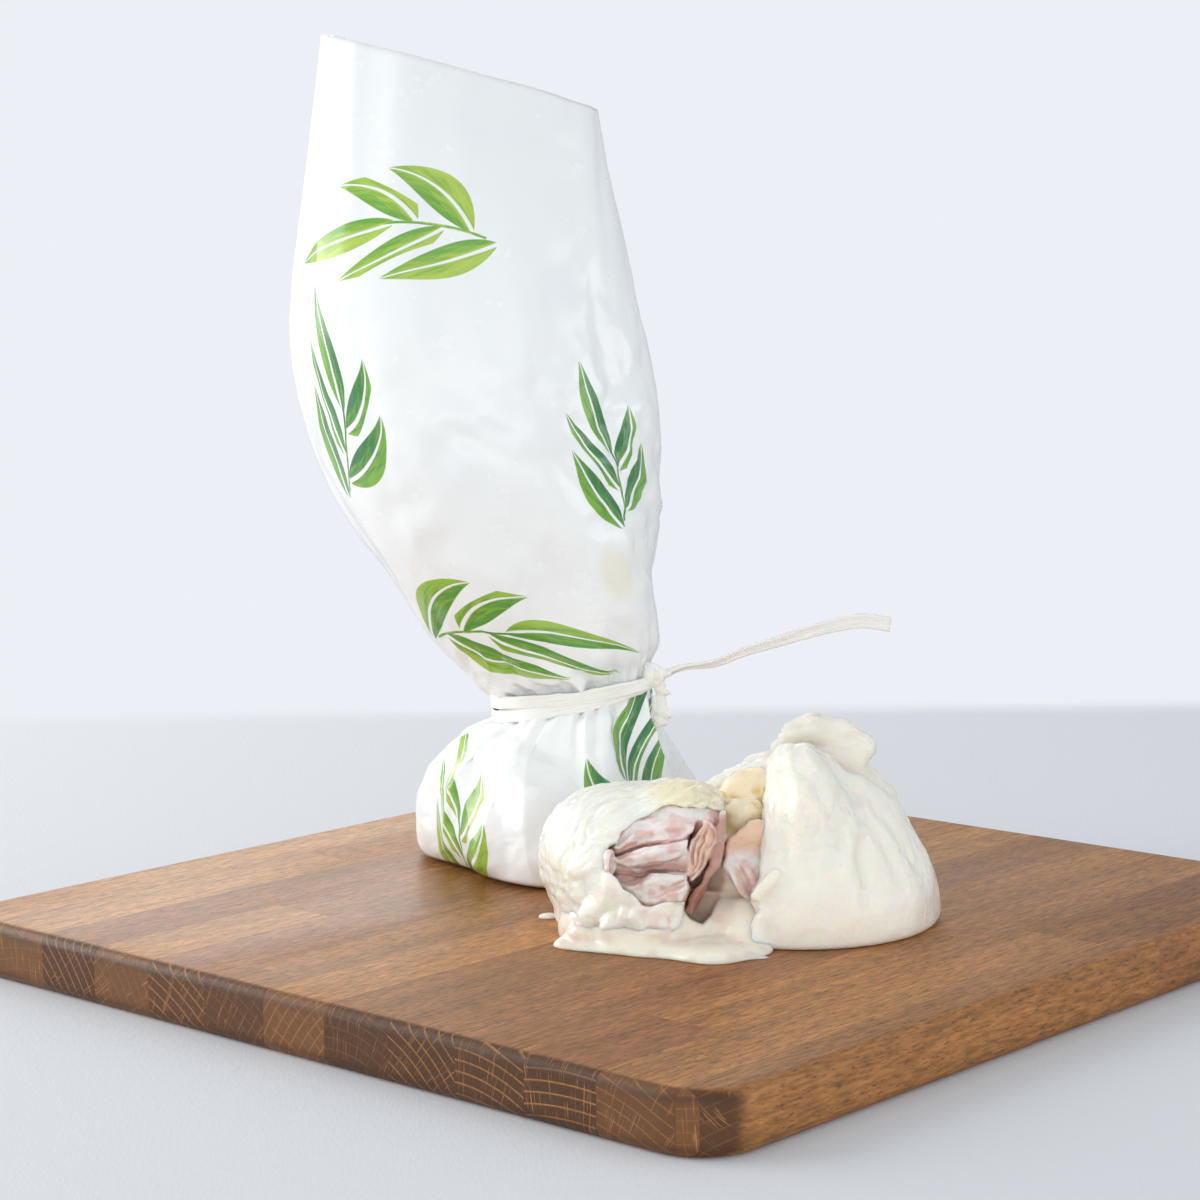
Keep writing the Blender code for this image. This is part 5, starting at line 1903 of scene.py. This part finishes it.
def make_ham_piece(name, form, low, high, step, material, node, peach=0.0):
    """A piece of ham drawn on a grid, roughened along its normals. Its masks are those of its form,
    with painted shade on the outer slice that lines the cleft, peach on the rolled ends and as peach as
    said on its upper part."""
    vertices, quads, normals = drawn_body(form, low, high, step, 0.2)
    masks = ham_masks(form, vertices, normals)
    grain = vertices / (3.5, 0.9, 0.9)
    rough = 0.16 * soft_noise(grain, 163) + 0.10 * soft_noise(vertices / 0.8, 164)
    vertices = vertices + normals * rough[:, None]
    across, up = seen_from_front(vertices)
    from_roll = outline_distance(across, up, HAM_ROLL)
    # Painted shade on the wall of the outer slice that lines the cleft, darker lower down; cream is kept
    # off it
    shaded_wall = ramp(outer_slice(across, up), 3.2, 1.8) * (vertices[:, 0] < 22.5)
    shaded_wall *= ramp(from_roll, -0.6, 0.6) * ramp(up, 39.0, 36.0)
    in_roll = ramp(from_roll, 0.8, -0.8) * (vertices[:, 0] < 19.5)
    ripe = peach * ramp(vertices[:, 2], 22.0, 27.0)
    masks["painted_shade"] = np.maximum(masks["painted_shade"], shaded_wall * (0.62 + 0.35 * ramp(up, 24.0, 19.0)))
    masks["edge"] = np.max([masks["edge"], ripe, 0.75 * in_roll], axis=0)
    masks["milk_and_light"] *= (1 - 0.8 * shaded_wall) * (1 - 0.75 * in_roll) * (1 - ripe)
    piece = body_piece(name, vertices, quads, masks, {})
    return place_piece(piece, material, "ham", node)


def make_ham(settings):
    """The folded ham in the mouth and the slice in the cleft."""
    step = settings.grid_step / MM * 0.5
    material = ham_material(settings)
    low, high = (-15.0, -75.0, 8.0), (22.0, -43.0, 44.0)
    make_ham_piece("ham_folds", bundle_form, low, high, step, material, "ham_bundle")
    low, high = (18.0, -67.0, 8.0), (38.0, -47.0, 38.0)
    make_ham_piece("ham_leaf", tongue_form, low, high, step, material, "ham_tongue", peach=0.85)


class MakeBurrataPouch(bpy.types.Operator):
    """Adds the torn skin of the opened burrata"""

    bl_idname = "burrata.pouch"
    bl_label = "Torn Pouch"

    def execute(self, context):
        make_pouch(context.scene.burrata_cheese)
        return {"FINISHED"}


class MakeBurrataHam(bpy.types.Operator):
    """Adds the folded ham and the slice beside it"""

    bl_idname = "burrata.ham"
    bl_label = "Ham"

    def execute(self, context):
        make_ham(context.scene.burrata_cheese)
        return {"FINISHED"}


class MakeBurrataCream(bpy.types.Operator):
    """Adds the cream that fills the pouch and runs out of it"""

    bl_idname = "burrata.cream"
    bl_label = "Cream"

    def execute(self, context):
        make_cream(context.scene.burrata_cheese)
        return {"FINISHED"}


# === The add-on's classes, its panel and the order of making

SETTINGS = {
    "burrata_stage": BurrataStageSettings,
    "burrata_board": BurrataBoardSettings,
    "burrata_tie": BurrataTieSettings,
    "burrata_film": BurrataFilmSettings,
    "burrata_cheese": BurrataCheeseSettings,
}
OPERATORS = (
    MakeBurrataStage,
    MakeBurrataTie,
    MakeBurrataBoard,
    MakeBurrataFilm,
    MakeBurrataPouch,
    MakeBurrataCream,
    MakeBurrataHam,
)


class BurrataPanel(bpy.types.Panel):
    """Lists the pieces and their settings"""

    bl_idname = "VIEW3D_PT_burrata"
    bl_label = "Burrata"
    bl_space_type = "VIEW_3D"
    bl_region_type = "UI"
    bl_category = "Burrata"

    def draw(self, context):
        for operator in OPERATORS:
            self.layout.operator(operator.bl_idname)
        for name, settings in SETTINGS.items():
            box = self.layout.box()
            box.label(text=settings.__doc__)
            for key in settings.__annotations__:
                box.prop(getattr(context.scene, name), key)


def register():
    for settings in SETTINGS.values():
        bpy.utils.register_class(settings)
    for operator in OPERATORS:
        bpy.utils.register_class(operator)
    bpy.utils.register_class(BurrataPanel)
    for name, settings in SETTINGS.items():
        setattr(bpy.types.Scene, name, PointerProperty(type=settings))


def unregister():
    for name in SETTINGS:
        delattr(bpy.types.Scene, name)
    bpy.utils.unregister_class(BurrataPanel)
    for made in (*OPERATORS, *SETTINGS.values()):
        bpy.utils.unregister_class(made)


def main():
    register()
    for operator in OPERATORS:
        group, name = operator.bl_idname.split(".")
        getattr(getattr(bpy.ops, group), name)()


if __name__ == "__main__":
    main()
